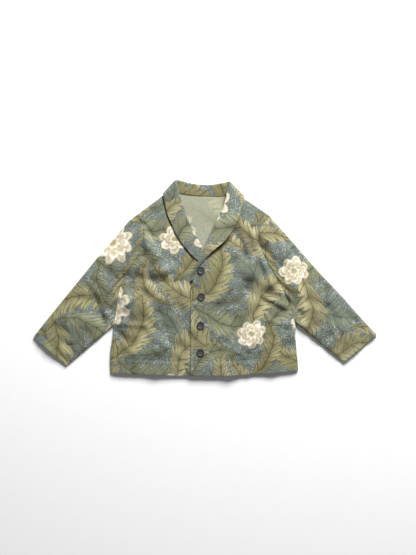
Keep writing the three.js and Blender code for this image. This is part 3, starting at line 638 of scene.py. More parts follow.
def sleeve_grid(side):
    """Middle surface of a sleeve's tube in rings from the armhole to the cuff, and its place on
    the print."""
    points, part, place, dips = armhole_ring(side)
    half = HALVES[side]
    shares = even(SLEEVE_ROWS)
    upper = along(half["sleeve_top"], shares)
    lower = along(half["sleeve_under"], shares)
    run = upper[-1] - upper[0]
    length = np.linalg.norm(run)
    run = run / length
    perp = np.array([run[1], -run[0]]) * half["sign"]
    levels = table_at([row[:2] for row in SLEEVE_LEVELS], shares)
    crowns = table_at([(row[0], row[2]) for row in SLEEVE_LEVELS], shares)
    fades = smooth(0, SLEEVE_BLEND, shares)
    start_width = np.linalg.norm(lower[0] - upper[0])
    start_across = (lower[0] - upper[0]) / start_width
    rows, prints = [], []
    for k, share in enumerate(shares):
        width = np.linalg.norm(lower[k] - upper[k])
        across = (lower[k] - upper[k]) / width
        depth, height, on_top = sleeve_places(part, place, width, levels[k], crowns[k])
        start_depth = sleeve_places(part, place, start_width, levels[k], crowns[k])[0]
        straight = upper[0] + start_depth[:, None] * start_across
        xy = upper[k] + depth[:, None] * across + (points[:, :2] - straight) * (1 - share)
        fold = (fold_height(xy) + grain_height(side, xy)) * on_top
        cuff = groove(abs((1 - share) * length - CUFF_FOLD)) * on_top
        drawn_in = seam_dip(share * length) / seam_dip(0.0) * dips
        z = mix(points[:, 2] + dips, height + fold - cuff, fades[k]) - drawn_in
        lowest = mix(FLOOR_LEVEL, LOWEST_TOP, on_top * fades[k])
        rows.append(with_height(xy, np.maximum(z, lowest)))
        prints.append(sleeve_print(part, place, xy - upper[0], upper[k] - upper[0], perp, run))
    rows[0] = points
    rows = [np.vstack([row, row[:1]]) for row in rows]
    folds = [(point - upper[0]) @ perp for point in upper]
    last = [[2 * fold - row[0, 0], row[0, 1]] for row, fold in zip(prints, folds)]
    return np.array(rows), np.array([np.vstack(pair) for pair in zip(prints, last)])


def collar_sections(seam, roll, edge, out, radius, bulge):
    """Sections of the collar from its outer edge over the roll and down to its seam."""
    radius = radius[:, None]
    run = roll - edge
    run = run - (run * out).sum(1)[:, None] * out
    run = run / np.linalg.norm(run, axis=1)[:, None]
    centre = roll - run * radius
    fall_end = centre + out * radius
    leg_end = centre - out * radius
    section = []
    for t in even(FALL_STEPS)[:-1]:
        section.append(mix(edge, fall_end, t) + out * bulge[:, None] * math.sin(math.pi * t))
    for t in even(ROLL_STEPS):
        turned = out * radius * math.cos(math.pi * t) + run * radius * math.sin(math.pi * t)
        section.append(centre + turned)
    for t in even(LEG_STEPS)[1:]:
        section.append(mix(leg_end, seam, t))
    return np.stack(section, axis=1)


UP = np.array([0.0, 0.0, 1.0])


def lapel_sections(side):
    seam, roll, edge, lift, radius = lapel_stations(side, even(ROWS_ARM))
    foot = front_height(side, seam, sewn=False)
    spread = np.linalg.norm(roll - edge, axis=1)
    edge_z = front_height(side, edge, sewn=False) + lift
    return collar_sections(
        with_height(seam, foot),
        with_height(roll, foot + radius),
        with_height(edge, edge_z),
        np.tile(UP, (len(seam), 1)),
        radius,
        LAPEL_BULGE * smooth(*BULGE_WIDTHS, spread),
    )


def turn_sections(side):
    """Sections round the shoulder fold, from the lapel's side to the back's."""
    rows = np.array(COLLAR_TURN[side], float)
    last = LAPELS[side][-1]
    rows = np.vstack([[last[0], last[1], last[4], last[5]], rows])
    shares = even(TURN_STEPS)[1:-1]
    roll, edge = (curve_at(rows[:, c:c + 2], shares) for c in (0, 2))
    neck = np.array([NECK_END[side]])
    feet = wrap_points(side, neck, 1 - shares)[:, 0]
    turn = math.pi * shares
    high = wrap_points(side, neck, [1.0])[0, 0, 2] + NECK_ROLL_RADIUS
    low = COLLAR_REST + NECK_ROLL_RADIUS
    out = np.cos(turn)[:, None] * UP
    out[:, :2] += np.sin(turn)[:, None] * shoulder_out(side)
    edge_z = np.maximum(feet[:, 2] + COLLAR_CLEARANCE * np.cos(turn), COLLAR_REST)
    return collar_sections(
        feet,
        with_height(roll, mix(high, low, (1 - np.cos(turn)) / 2)),
        with_height(edge, edge_z),
        out,
        np.full(len(shares), NECK_ROLL_RADIUS),
        LAPEL_BULGE * (1 - shares) / 2,
    )


def neck_sections():
    shares = even(NECK_COLUMNS)
    seam, roll, edge = (along(line, shares) for line in (NECK_SEAM, NECK_ROLL, NECK_EDGE))
    count = len(shares)
    return collar_sections(
        with_height(seam, back_height(seam)),
        with_height(roll, COLLAR_REST + NECK_ROLL_RADIUS),
        with_height(edge, COLLAR_REST),
        np.tile(-UP, (count, 1)),
        np.full(count, NECK_ROLL_RADIUS),
        np.zeros(count),
    )


def collar_grid():
    """Middle surface of the collar from the right lapel's tip to the left's, and its place on
    the print."""
    sections = np.concatenate([
        lapel_sections("right"),
        turn_sections("right"),
        neck_sections(),
        turn_sections("left")[::-1],
        lapel_sections("left")[::-1],
    ])
    middle = FALL_STEPS + ROLL_STEPS // 2
    down = lengths_along(sections[:, middle])[:, None]
    steps = np.linalg.norm(np.diff(sections, axis=1), axis=2)
    across = np.concatenate([np.zeros((len(sections), 1)), np.cumsum(steps, axis=1)], axis=1)
    across = across - across[:, middle][:, None]
    return sections, np.stack([across, np.broadcast_to(down, across.shape)], axis=-1)


def add_object(name, data):
    made = bpy.data.objects.new(name, data)
    bpy.context.scene.collection.objects.link(made)
    return made


def deselect():
    bpy.ops.object.select_all(action="DESELECT")


def make_active(piece):
    deselect()
    piece.select_set(True)
    bpy.context.view_layer.objects.active = piece


def apply_modifiers(piece):
    make_active(piece)
    for modifier in list(piece.modifiers):
        bpy.ops.object.modifier_apply(modifier=modifier.name)


def grid_faces(rows, columns, first, flip):
    ids = first + np.arange(rows * columns).reshape(rows, columns)
    faces = np.stack([ids[:-1, :-1], ids[:-1, 1:], ids[1:, 1:], ids[1:, :-1]], axis=-1)
    faces = faces.reshape(-1, 4)
    return faces[:, ::-1] if flip else faces


def cloth_piece(name, grids, thickness, materials):
    """Wall of cloth round the middle surface of its grids, with its print in a UV map in metres."""
    points, prints, faces = [], [], []
    for grid, cloth, flip in grids:
        first = sum(len(p) for p in points)
        faces.append(grid_faces(*grid.shape[:2], first, flip))
        points.append(grid.reshape(-1, 3) * MM)
        prints.append(cloth.reshape(-1, 2) * MM)
    mesh = bpy.data.meshes.new(name)
    mesh.from_pydata(np.vstack(points).tolist(), [], np.vstack(faces).tolist())
    corners = np.zeros(len(mesh.loops), int)
    mesh.loops.foreach_get("vertex_index", corners)
    layer = mesh.uv_layers.new(name="print")
    layer.data.foreach_set("uv", np.vstack(prints)[corners].ravel())
    shaped = bmesh.new()
    shaped.from_mesh(mesh)
    bmesh.ops.remove_doubles(shaped, verts=shaped.verts, dist=WELD * MM)
    shaped.to_mesh(mesh)
    shaped.free()
    piece = add_object(name, mesh)
    for material in materials:
        mesh.materials.append(material)
    wall = piece.modifiers.new("wall", "SOLIDIFY")
    wall.thickness = thickness * MM
    wall.offset = 0
    wall.use_quality_normals = True
    wall.material_offset = 1
    rim = piece.modifiers.new("rim", "BEVEL")
    rim.width = RIM_BEVEL * MM
    rim.segments = 2
    rim.angle_limit = math.radians(RIM_ANGLE)
    apply_modifiers(piece)
    bpy.ops.object.shade_smooth()
    return piece


def colour(hex_code):
    """sRGB hex to linear red, green, blue and alpha."""
    parts = [int(hex_code[i:i + 2], 16) / 255 for i in (1, 3, 5)]
    linear = [v / 12.92 if v <= 0.04045 else ((v + 0.055) / 1.055) ** 2.4 for v in parts]
    return (*linear, 1.0)


def put(tree, kind, *inputs, **settings):
    """Adds a node. settings are its own properties. inputs are for its sockets in order, or one
    dictionary by socket: a value, or the node or output to link there."""
    made = tree.nodes.new("ShaderNode" + kind)
    for setting, value in settings.items():
        setattr(made, setting, value)
    by_socket = inputs[0] if inputs and isinstance(inputs[0], dict) else dict(enumerate(inputs))
    for socket, value in by_socket.items():
        if isinstance(value, bpy.types.Node):
            value = value.outputs[0]
        if isinstance(value, bpy.types.NodeSocket):
            tree.links.new(value, made.inputs[socket])
        else:
            made.inputs[socket].default_value = value
    return made


def new_group(name, inputs, outputs):
    """Node group with these sockets, as name: kind."""
    group = bpy.data.node_groups.new(name, "ShaderNodeTree")
    for in_out, sockets in (("INPUT", inputs), ("OUTPUT", outputs)):
        for socket, kind in sockets.items():
            group.interface.new_socket(socket, in_out=in_out, socket_type="NodeSocket" + kind)
    return group, group.nodes.new("NodeGroupInput").outputs, group.nodes.new("NodeGroupOutput").inputs


# Print: sizes in metres on the cloth
REPEAT = (0.252, 0.296)  # across, and down with a half drop to the next column
LINE = 0.001  # drawn line, coarser than a real one so that it shows
VEIN_LEAN = -0.9  # how far the side veins run along the leaf as they run out
HATCH = 0.0013
PETAL_DEPTH = 0.66  # where the gap between two petals ends, as a share of their ring
PETAL_FRILL = -0.09
PETAL_STREAKS = 4.0
WANDER = [(0.045, 0.016), (0.012, 0.0044), (0.0048, 0.0026)]  # size and reach of the uneven drawing
GROUND_DOTS = 0.0026  # pin dots, coarser than real ones so that they show
DOT_PATCHES = 0.022


def place_group():
    """A motif's own place on the cloth: x along it and y across, nearest repeat."""
    group, given, result = new_group(
        "motif place",
        {"Print": "Vector", "Centre": "Vector", "Angle": "Float"},
        {"Along": "Float", "Across": "Float"},
    )
    away = put(group, "VectorMath", given["Print"], given["Centre"], operation="SUBTRACT")
    parts = put(group, "SeparateXYZ", away).outputs
    column = put(group, "Math", parts["X"], REPEAT[0], operation="DIVIDE")
    column = put(group, "Math", column, operation="ROUND")
    x = put(group, "Math", column, -REPEAT[0], parts["X"], operation="MULTIPLY_ADD")
    y = put(group, "Math", column, -REPEAT[1] / 2, parts["Y"], operation="MULTIPLY_ADD")
    y = put(group, "Math", y, REPEAT[1] / 2, -REPEAT[1] / 2, operation="WRAP")
    there = put(group, "CombineXYZ", x, y)
    back = put(group, "Math", given["Angle"], -1.0, operation="MULTIPLY")
    turned = put(group, "VectorRotate", {"Vector": there, "Angle": back}, rotation_type="Z_AXIS")
    parts = put(group, "SeparateXYZ", turned).outputs
    group.links.new(parts["X"], result["Along"])
    group.links.new(parts["Y"], result["Across"])
    return group


def draw_over(group, under, filled, fill, lines, line):
    """Colour of a filled shape and its lines over what lies under it."""
    lines = put(group, "Math", lines, filled, operation="MULTIPLY")
    shape = put(group, "Mix", {0: filled, 6: under, 7: fill}, data_type="RGBA")
    return put(group, "Mix", {0: lines, 6: shape.outputs[2], 7: line}, data_type="RGBA").outputs[2]


def leaf_group(place):
    """Leaf drawn over what lies under it. Its lobes follow the side veins, and it is darker
    towards its midrib and hatched on one half."""
    group, given, result = new_group(
        "leaf",
        {
            "Under": "Color", "Print": "Vector", "Centre": "Vector", "Angle": "Float",
            "Length": "Float", "Half width": "Float", "Bend": "Float", "Pitch": "Float",
            "Depth": "Float", "Fill": "Color", "Shade": "Color", "Line": "Color",
        },
        {"Colour": "Color"},
    )
    at = {socket: given[socket] for socket in ("Print", "Centre", "Angle")}
    here = put(group, "Group", at, node_tree=place)
    x, y = here.outputs["Along"], here.outputs["Across"]
    middle = put(group, "Math", x, given["Length"], operation="DIVIDE")
    bow = put(group, "Math", middle, middle, operation="MULTIPLY")
    bow = put(group, "Math", bow, given["Bend"], operation="MULTIPLY")
    y = put(group, "Math", y, bow, operation="ADD")
    share = put(group, "Math", middle, 0.5, operation="ADD", use_clamp=True)
    swell = put(group, "Math", share, 0.8, operation="POWER")
    swell = put(group, "Math", swell, math.pi, operation="MULTIPLY")
    swell = put(group, "Math", swell, operation="SINE")
    side = put(group, "Math", y, operation="ABSOLUTE")
    vein = put(group, "Math", side, VEIN_LEAN, x, operation="MULTIPLY_ADD")
    lobe = put(group, "Math", vein, given["Pitch"], operation="DIVIDE")
    lobe = put(group, "Math", lobe, 1.0, operation="PINGPONG")
    notch = put(group, "Math", lobe, 2.0, operation="POWER")
    notch = put(group, "Math", notch, given["Depth"], operation="MULTIPLY")
    notch = put(group, "Math", 1.0, notch, operation="SUBTRACT")
    half = put(group, "Math", swell, given["Half width"], operation="MULTIPLY")
    half = put(group, "Math", half, notch, operation="MULTIPLY")
    inside = put(group, "Math", half, side, operation="SUBTRACT")
    filled = put(group, "MapRange", inside, 0.0, LINE)
    rim = put(group, "MapRange", inside, LINE, 2 * LINE, 0.85, 0.0)
    rib = put(group, "MapRange", side, 0.3 * LINE, 1.2 * LINE, 0.9, 0.0)
    veins = put(group, "Math", lobe, given["Pitch"], operation="MULTIPLY")
    veins = put(group, "MapRange", veins, 0.4 * LINE, 1.2 * LINE, 0.85, 0.0)
    lines = put(group, "Math", rim, rib, operation="MAXIMUM")
    lines = put(group, "Math", lines, veins, operation="MAXIMUM")
    hatch = put(group, "Math", vein, HATCH, operation="PINGPONG")
    hatch = put(group, "MapRange", hatch, 0.0003, 0.0008, 1.0, 0.2)
    lower = put(group, "MapRange", y, -0.002, 0.004)
    deep = put(group, "MapRange", side, 0.0, 0.014, 0.95, 0.0)
    hatch = put(group, "Math", hatch, lower, operation="MULTIPLY")
    hatch = put(group, "Math", hatch, deep, operation="MAXIMUM")
    fill = put(group, "Mix", {0: hatch, 6: given["Fill"], 7: given["Shade"]}, data_type="RGBA")
    drawn = draw_over(group, given["Under"], filled, fill.outputs[2], lines, given["Line"])
    group.links.new(drawn, result["Colour"])
    return group


BLOOM_RINGS = [  # share of the radius, turn of the petals, colour of the petals
    (1.0, 0.0, "#d8cfb6"),
    (0.8, 0.9, "#f0ebda"),
    (0.6, 2.0, "#d3c9ac"),
    (0.42, 0.4, "#e6dfca"),
    (0.22, 1.3, "#a89c76"),
]
PETAL_SHADE = "#94886a"
PETAL_LINE = "#4d4430"


def bloom_group(place):
    """Full round flower in rings of petals, each ring shaded and hatched towards its base."""
    group, given, result = new_group(
        "bloom",
        {
            "Under": "Color", "Print": "Vector", "Centre": "Vector", "Angle": "Float",
            "Radius": "Float", "Petals": "Float",
        },
        {"Colour": "Color"},
    )
    at = {socket: given[socket] for socket in ("Print", "Centre", "Angle")}
    here = put(group, "Group", at, node_tree=place)
    x, y = here.outputs["Along"], here.outputs["Across"]
    around = put(group, "Math", y, x, operation="ARCTAN2")
    flat = put(group, "CombineXYZ", x, y)
    away = put(group, "VectorMath", flat, operation="LENGTH").outputs["Value"]
    wave = put(group, "Math", around, given["Petals"], operation="MULTIPLY")
    wave = put(group, "Math", wave, 0.5, operation="MULTIPLY")
    below = given["Under"]
    for k, (share, turn, petal) in enumerate(BLOOM_RINGS):
        inner = BLOOM_RINGS[k + 1][0] if k + 1 < len(BLOOM_RINGS) else 0.0
        turned = put(group, "Math", wave, turn, operation="ADD")
        arch = put(group, "Math", turned, operation="COSINE")
        arch = put(group, "Math", arch, operation="ABSOLUTE")
        round_tip = put(group, "Math", arch, 0.6, operation="POWER")
        reach = put(group, "MapRange", {"Value": round_tip, 3: PETAL_DEPTH * share, 4: share})
        frill = put(group, "Math", turned, 7.0, operation="MULTIPLY")
        frill = put(group, "Math", frill, 1.0, operation="PINGPONG")
        reach = put(group, "Math", frill, PETAL_FRILL, reach, operation="MULTIPLY_ADD")
        reach = put(group, "Math", reach, given["Radius"], operation="MULTIPLY")
        inside = put(group, "Math", reach, away, operation="SUBTRACT")
        filled = put(group, "MapRange", inside, 0.0, LINE / 2)
        rim = put(group, "MapRange", inside, 0.7 * LINE, 1.3 * LINE, 0.9, 0.0)
        split = put(group, "MapRange", arch, 0.05, 0.14, 0.8, 0.0)
        band = put(group, "Math", given["Radius"], share - inner, operation="MULTIPLY")
        depth = put(group, "Math", inside, band, operation="DIVIDE")
        base = put(group, "MapRange", depth, 0.25, 1.1)
        streak = put(group, "Math", turned, PETAL_STREAKS, operation="MULTIPLY")
        streak = put(group, "Math", streak, 0.5, operation="PINGPONG")
        streak = put(group, "MapRange", streak, 0.08, 0.3, 1.0, 0.45)
        shade = put(group, "Math", base, streak, operation="MULTIPLY")
        tint = put(group, "Mix", {0: shade, 6: colour(petal), 7: colour(PETAL_SHADE)}, data_type="RGBA")
        lines = put(group, "Math", rim, split, operation="MAXIMUM")
        below = draw_over(group, below, filled, tint.outputs[2], lines, colour(PETAL_LINE))
    group.links.new(below, result["Colour"])
    return group


OLIVE = ("#98936c", "#696545", "#3f3e2c")
SAGE = ("#8a8c70", "#62654e", "#3d4032")
KHAKI = ("#a29c78", "#757051", "#474531")
SHADOW = ("#777c6c", "#5e6557", "#454b42")
STEM = ("#8b865f", "#8b865f", "#55533a")
# x, y, angle, length, half width, bend, pitch and depth of the lobes, colours; drawn in this order
LEAVES = [
    (0.080, 0.130, 0.1, 0.130, 0.024, 0.14, 0.0075, 0.6, SHADOW),
    (0.185, 0.060, 2.2, 0.130, 0.024, -0.14, 0.0075, 0.6, SHADOW),
    (0.110, 0.290, 2.9, 0.130, 0.022, 0.13, 0.0075, 0.6, SHADOW),
    (0.225, 0.165, 0.5, 0.120, 0.022, 0.12, 0.007, 0.6, SHADOW),
    (0.020, 0.215, 1.2, 0.120, 0.022, -0.12, 0.007, 0.6, SHADOW),
    (0.040, 0.060, 0.9, 0.200, 0.0022, 0.20, 0.05, 0.0, STEM),
    (0.170, 0.160, 2.3, 0.220, 0.0022, -0.23, 0.05, 0.0, STEM),
    (0.090, 0.240, 1.7, 0.180, 0.0022, 0.19, 0.05, 0.0, STEM),
    (0.205, 0.290, 0.2, 0.180, 0.0022, -0.19, 0.05, 0.0, STEM),
    (0.022, 0.140, 0.35, 0.165, 0.031, 0.19, 0.0105, 0.6, SAGE),
    (0.125, 0.050, 1.25, 0.185, 0.034, -0.22, 0.0115, 0.65, OLIVE),
    (0.205, 0.115, 2.75, 0.175, 0.032, 0.20, 0.0105, 0.6, KHAKI),
    (0.065, 0.235, 2.1, 0.185, 0.034, 0.22, 0.0115, 0.65, OLIVE),
    (0.165, 0.245, 0.15, 0.170, 0.031, -0.19, 0.0105, 0.6, SAGE),
    (0.225, 0.020, 0.7, 0.175, 0.033, 0.20, 0.0105, 0.6, KHAKI),
    (0.010, 0.030, 2.6, 0.130, 0.025, 0.14, 0.0085, 0.55, OLIVE),
    (0.130, 0.140, 1.9, 0.125, 0.023, 0.14, 0.008, 0.55, KHAKI),
    (0.232, 0.200, 1.4, 0.130, 0.023, -0.14, 0.0085, 0.55, OLIVE),
    (0.110, 0.190, 0.4, 0.110, 0.020, 0.12, 0.008, 0.55, SAGE),
]
# x, y, angle, radius, petals
BLOOMS = [
    (0.060, 0.095, 0.3, 0.046, 9),
    (0.190, 0.225, 1.1, 0.031, 7),
]


def print_group():
    """Printed cloth: stippled blue grey ground, leaves, then flowers."""
    place = place_group()
    leaf = leaf_group(place)
    bloom = bloom_group(place)
    group, given, result = new_group("botanical print", {"Print": "Vector"}, {"Colour": "Color"})
    cloth = given["Print"]
    drawn_on = cloth
    for size, reach in WANDER:
        drift = put(group, "TexNoise", {"Vector": cloth, "Scale": 1 / size, "Detail": 1.0})
        drift = put(group, "VectorMath", drift.outputs["Color"], (0.5, 0.5, 0.5), operation="SUBTRACT")
        drift = put(group, "VectorMath", {0: drift, 3: reach}, operation="SCALE")
        drawn_on = put(group, "VectorMath", drawn_on, drift, operation="ADD").outputs[0]
    dots = put(group, "TexVoronoi", {"Vector": cloth, "Scale": 1 / GROUND_DOTS})
    dots = put(group, "MapRange", dots.outputs["Distance"], 0.3, 0.46, 1.0, 0.0)
    patch = put(group, "TexNoise", {"Vector": cloth, "Scale": 1 / DOT_PATCHES, "Detail": 4.0})
    patch = put(group, "MapRange", patch, 0.38, 0.62, 0.2, 1.0)
    dots = put(group, "Math", dots, patch, operation="MULTIPLY")
    ground = {0: dots, 6: colour("#626a63"), 7: colour("#a9aea3")}
    below = put(group, "Mix", ground, data_type="RGBA").outputs[2]
    for x, y, angle, length, half, bend, pitch, depth, (fill, shade, line) in LEAVES:
        values = {
            "Under": below, "Print": drawn_on, "Centre": (x, y, 0), "Angle": angle, "Length": length,
            "Half width": half, "Bend": bend, "Pitch": pitch, "Depth": depth,
            "Fill": colour(fill), "Shade": colour(shade), "Line": colour(line),
        }
        below = put(group, "Group", values, node_tree=leaf).outputs["Colour"]
    for x, y, angle, radius, petals in BLOOMS:
        values = {
            "Under": below, "Print": drawn_on, "Centre": (x, y, 0), "Angle": angle,
            "Radius": radius, "Petals": petals,
        }
        below = put(group, "Group", values, node_tree=bloom).outputs["Colour"]
    group.links.new(below, result["Colour"])
    return group


def new_material(name, **settings):
    """Material with its shader, whose own sockets take the settings that are the same all over."""
    material = bpy.data.materials.new(name)
    material.use_nodes = True
    tree = material.node_tree
    shader = next(n for n in tree.nodes if n.type == "BSDF_PRINCIPLED")
    for socket, value in settings.items():
        shader.inputs[socket.replace("_", " ")].default_value = value
    return material, tree, shader


# Sizes of the materials' patterns in metres
TWILL = 0.0011  # rib spacing; real twill is 0.5 mm, drawn coarser so that it shows
WORN_PATCHES = 0.05
CRUMPLE = 0.011
RESIN_CLOUD = 0.004
RESIN_GRAIN = 0.0004
PLY = 0.0005
BOARD_GRAIN = 0.025
WAVE = 2 * math.pi / 10  # scale of a band texture whose bands are a metre apart


def printed_twill(name, drawing, fade):
    """Cotton twill with a washed, matt hand. fade is how far the wrong side pales."""
    material, tree, shader = new_material(
        name, Roughness=0.88, IOR=1.45, Sheen_Weight=0.12, Sheen_Roughness=0.5, Specular_IOR_Level=0.25
    )
    cloth = put(tree, "UVMap", uv_map="print")
    drawn = put(tree, "Group", {"Print": cloth}, node_tree=drawing)
    worn = put(tree, "TexNoise", {"Vector": cloth, "Scale": 1 / WORN_PATCHES, "Detail": 4.0})
    worn = put(tree, "MapRange", worn, 0.3, 0.7, 0.86, 1.06)
    tinted = put(tree, "VectorMath", {0: drawn, 3: worn}, operation="SCALE")
    paled = put(tree, "Mix", {0: fade, 6: tinted, 7: colour("#a3a48e")}, data_type="RGBA")
    tree.links.new(paled.outputs[2], shader.inputs["Base Color"])
    bands = {"Vector": cloth, "Scale": WAVE / TWILL}
    ribs = put(tree, "TexWave", bands, bands_direction="DIAGONAL")
    creased = put(tree, "TexNoise", {"Vector": cloth, "Scale": 1 / CRUMPLE, "Detail": 2.0})
    soft = put(tree, "Bump", {"Height": creased, "Strength": 0.5, "Distance": 0.0006})
    bump = put(tree, "Bump", {"Height": ribs, "Strength": 0.3, "Distance": 0.0001, "Normal": soft})
    tree.links.new(bump.outputs[0], shader.inputs["Normal"])
    return material


def button_resin():
    """Dyed cast resin, turned and tumbled: a soft gloss with a faint cloud in the colour."""
    material, tree, shader = new_material("dyed_cast_resin", Roughness=0.5, IOR=1.5)
    place = put(tree, "TexCoord").outputs["Object"]
    cloud = put(tree, "TexNoise", {"Vector": place, "Scale": 1 / RESIN_CLOUD, "Detail": 3.0})
    tint = put(tree, "Mix", {0: cloud, 6: colour("#2b292b"), 7: colour("#403d3f")}, data_type="RGBA")
    tree.links.new(tint.outputs[2], shader.inputs["Base Color"])
    fine = put(tree, "TexNoise", {"Vector": place, "Scale": 1 / RESIN_GRAIN})
    bump = put(tree, "Bump", {"Height": fine, "Strength": 0.15, "Distance": 0.00005})
    tree.links.new(bump.outputs[0], shader.inputs["Normal"])
    return material


def sewing_thread(name, base, light):
    """Spun cotton thread: matt, with the slant of its plies."""
    material, tree, shader = new_material(name, Roughness=0.8, IOR=1.45, Sheen_Weight=0.2)
    place = put(tree, "TexCoord").outputs["Object"]
    bands = {"Vector": place, "Scale": WAVE / PLY}
    plies = put(tree, "TexWave", bands, bands_direction="DIAGONAL")
    tint = put(tree, "Mix", {0: plies, 6: colour(base), 7: colour(light)}, data_type="RGBA")
    tree.links.new(tint.outputs[2], shader.inputs["Base Color"])
    bump = put(tree, "Bump", {"Height": plies, "Strength": 0.3, "Distance": 0.00005})
    tree.links.new(bump.outputs[0], shader.inputs["Normal"])
    return material


def studio_floor():
    """Matt white sweep of painted board."""
    material, tree, shader = new_material("matt_painted_board", Roughness=0.95, Specular_IOR_Level=0.1)
    place = put(tree, "TexCoord").outputs["Object"]
    grain = put(tree, "TexNoise", {"Vector": place, "Scale": 1 / BOARD_GRAIN})
    tint = put(tree, "Mix", {0: grain, 6: colour("#ececec"), 7: colour("#efefef")}, data_type="RGBA")
    tree.links.new(tint.outputs[2], shader.inputs["Base Color"])
    return material


# Camera: straight down, the picture's middle a little off the jacket's own
LENS = 85
SENSOR = 36
VIEW_HEIGHT = 1110 * MM
VIEW_CENTRE = (5.6 * MM, 1.4 * MM)
JACKET_MIDDLE = 10 * MM
NEAREST = 0.01

# Light: a large soft key over the wearer's left shoulder, a weak fill from beyond the hem
KEY = {"place": (0.62, 1.95, 1.5), "size": 1.25, "energy": 146}
FILL = {"place": (-0.5, -1.4, 2.2), "size": 2.2, "energy": 5}
ROOM = ("#f4f5f7", 0.15)
FLOOR_SIZE = 6


def add_camera():
    data = bpy.data.cameras.new("camera")
    data.lens = LENS
    data.sensor_fit = "VERTICAL"
    data.sensor_height = SENSOR
    data.clip_start = NEAREST
    camera = add_object("camera", data)
    distance = VIEW_HEIGHT * LENS / SENSOR
    camera.location = (*VIEW_CENTRE, distance + JACKET_MIDDLE)
    bpy.context.scene.camera = camera


def add_area_light(name, place, size, energy):
    """Area light that points at the jacket."""
    data = bpy.data.lights.new(name, "AREA")
    data.size = size
    data.energy = energy
    light = add_object(name, data)
    light.location = place
    light.rotation_euler = (-Vector(place)).to_track_quat("-Z", "Y").to_euler()


def add_studio():
    bpy.ops.mesh.primitive_plane_add(size=FLOOR_SIZE, location=(0, 0, 0))
    floor = bpy.context.active_object
    floor.name = "floor"
    floor.data.materials.append(studio_floor())
    add_area_light("key", **KEY)
    add_area_light("fill", **FILL)
    world = bpy.data.worlds.new("studio")
    world.use_nodes = True
    shade = next(n for n in world.node_tree.nodes if n.type == "BACKGROUND")
    shade.inputs["Color"].default_value = colour(ROOM[0])
    shade.inputs["Strength"].default_value = ROOM[1]
    bpy.context.scene.world = world
    bpy.context.scene.view_settings.view_transform = "Standard"


BUTTONS = [f"button_{k}" for k in range(1, 5)]
BUTTON_CLEARANCE = 1.6  # the front's top to the middle of a button
BUTTON = {
    "segments": 48, "radius": 7.5, "thickness": 2.0, "rim": 1.7, "slope": 0.9, "sunk": 0.9,
    "back_rim": 1.0, "back_raised": 0.35, "rounding": 0.45, "round_from": 35, "smooth_to": 40,
}
HOLE = {"radius": 0.75, "circle": 1.9, "segments": 12, "depth": 8}
LOOP = {"radius": 1.35, "thickness": 0.27, "apart": 0.28, "level": -0.55}


def button_shape(resin):
    """One button at the origin: a raised rounded rim and a sunken middle with four holes."""
    deselect()
    bpy.ops.mesh.primitive_cylinder_add(
        vertices=BUTTON["segments"], radius=BUTTON["radius"] * MM, depth=BUTTON["thickness"] * MM
    )
    button = bpy.context.active_object
    bpy.ops.object.mode_set(mode="EDIT")
    select_faces(button, facing=1)
    bpy.ops.mesh.inset(thickness=BUTTON["rim"] * MM)
    bpy.ops.mesh.inset(thickness=BUTTON["slope"] * MM)
    bpy.ops.transform.translate(value=(0, 0, -BUTTON["sunk"] * MM))
    select_faces(button, facing=-1)
    bpy.ops.mesh.inset(thickness=BUTTON["back_rim"] * MM)
    bpy.ops.transform.translate(value=(0, 0, -BUTTON["back_raised"] * MM))
    bpy.ops.object.mode_set(mode="OBJECT")
    for k in range(4):
        angle = math.pi / 4 + k * math.pi / 2
        cut_hole(button, HOLE["circle"] * math.cos(angle) * MM, HOLE["circle"] * math.sin(angle) * MM)
    rim = button.modifiers.new("rim", "BEVEL")
    rim.width = BUTTON["rounding"] * MM
    rim.segments = 3
    rim.angle_limit = math.radians(BUTTON["round_from"])
    apply_modifiers(button)
    bpy.ops.object.shade_smooth_by_angle(angle=math.radians(BUTTON["smooth_to"]))
    button.data.materials.append(resin)
    return button


def select_faces(button, facing):
    """Selects the faces that look straight up, 1, or down, -1, in edit mode."""
    shape = bmesh.from_edit_mesh(button.data)
    for face in shape.faces:
        face.select_set(False)
    for face in shape.faces:
        if face.normal.z * facing > 0.9:
            face.select_set(True)
    shape.select_flush_mode()
    bmesh.update_edit_mesh(button.data)


def cut_hole(button, x, y):
    deselect()
    bpy.ops.mesh.primitive_cylinder_add(
        vertices=HOLE["segments"], radius=HOLE["radius"] * MM, depth=HOLE["depth"] * MM,
        location=(x, y, 0),
    )
    drill = bpy.context.active_object
    cut = button.modifiers.new("hole", "BOOLEAN")
    cut.operation = "DIFFERENCE"
    cut.solver = "EXACT"
    cut.object = drill
    apply_modifiers(button)
    bpy.data.objects.remove(drill)


def thread_shape(thread):
    """Two pairs of thread loops over the middle of a button."""
    deselect()
    loops = []
    column = HOLE["circle"] * math.sqrt(0.5)
    for x in (-column, column):
        for shift in (-LOOP["apart"], LOOP["apart"]):
            bpy.ops.mesh.primitive_torus_add(
                major_segments=24, minor_segments=8,
                major_radius=LOOP["radius"] * MM, minor_radius=LOOP["thickness"] * MM,
                location=((x + shift) * MM, 0, LOOP["level"] * MM), rotation=(0, math.pi / 2, 0),
            )
            loops.append(bpy.context.active_object)
    make_active(loops[0])
    for loop in loops:
        loop.select_set(True)
    bpy.ops.object.join()
    bpy.ops.object.transform_apply(location=True, rotation=True, scale=True)
    bpy.ops.object.shade_smooth()
    joined = bpy.context.active_object
    joined.data.materials.append(thread)
    return joined


def copy_to(shape, name, place):
    """Copy of a shape with its own mesh, its place in the mesh."""
    piece = add_object(name, shape.data.copy())
    piece.data.transform(Matrix.Translation(place))
    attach(piece, "root")
    return piece


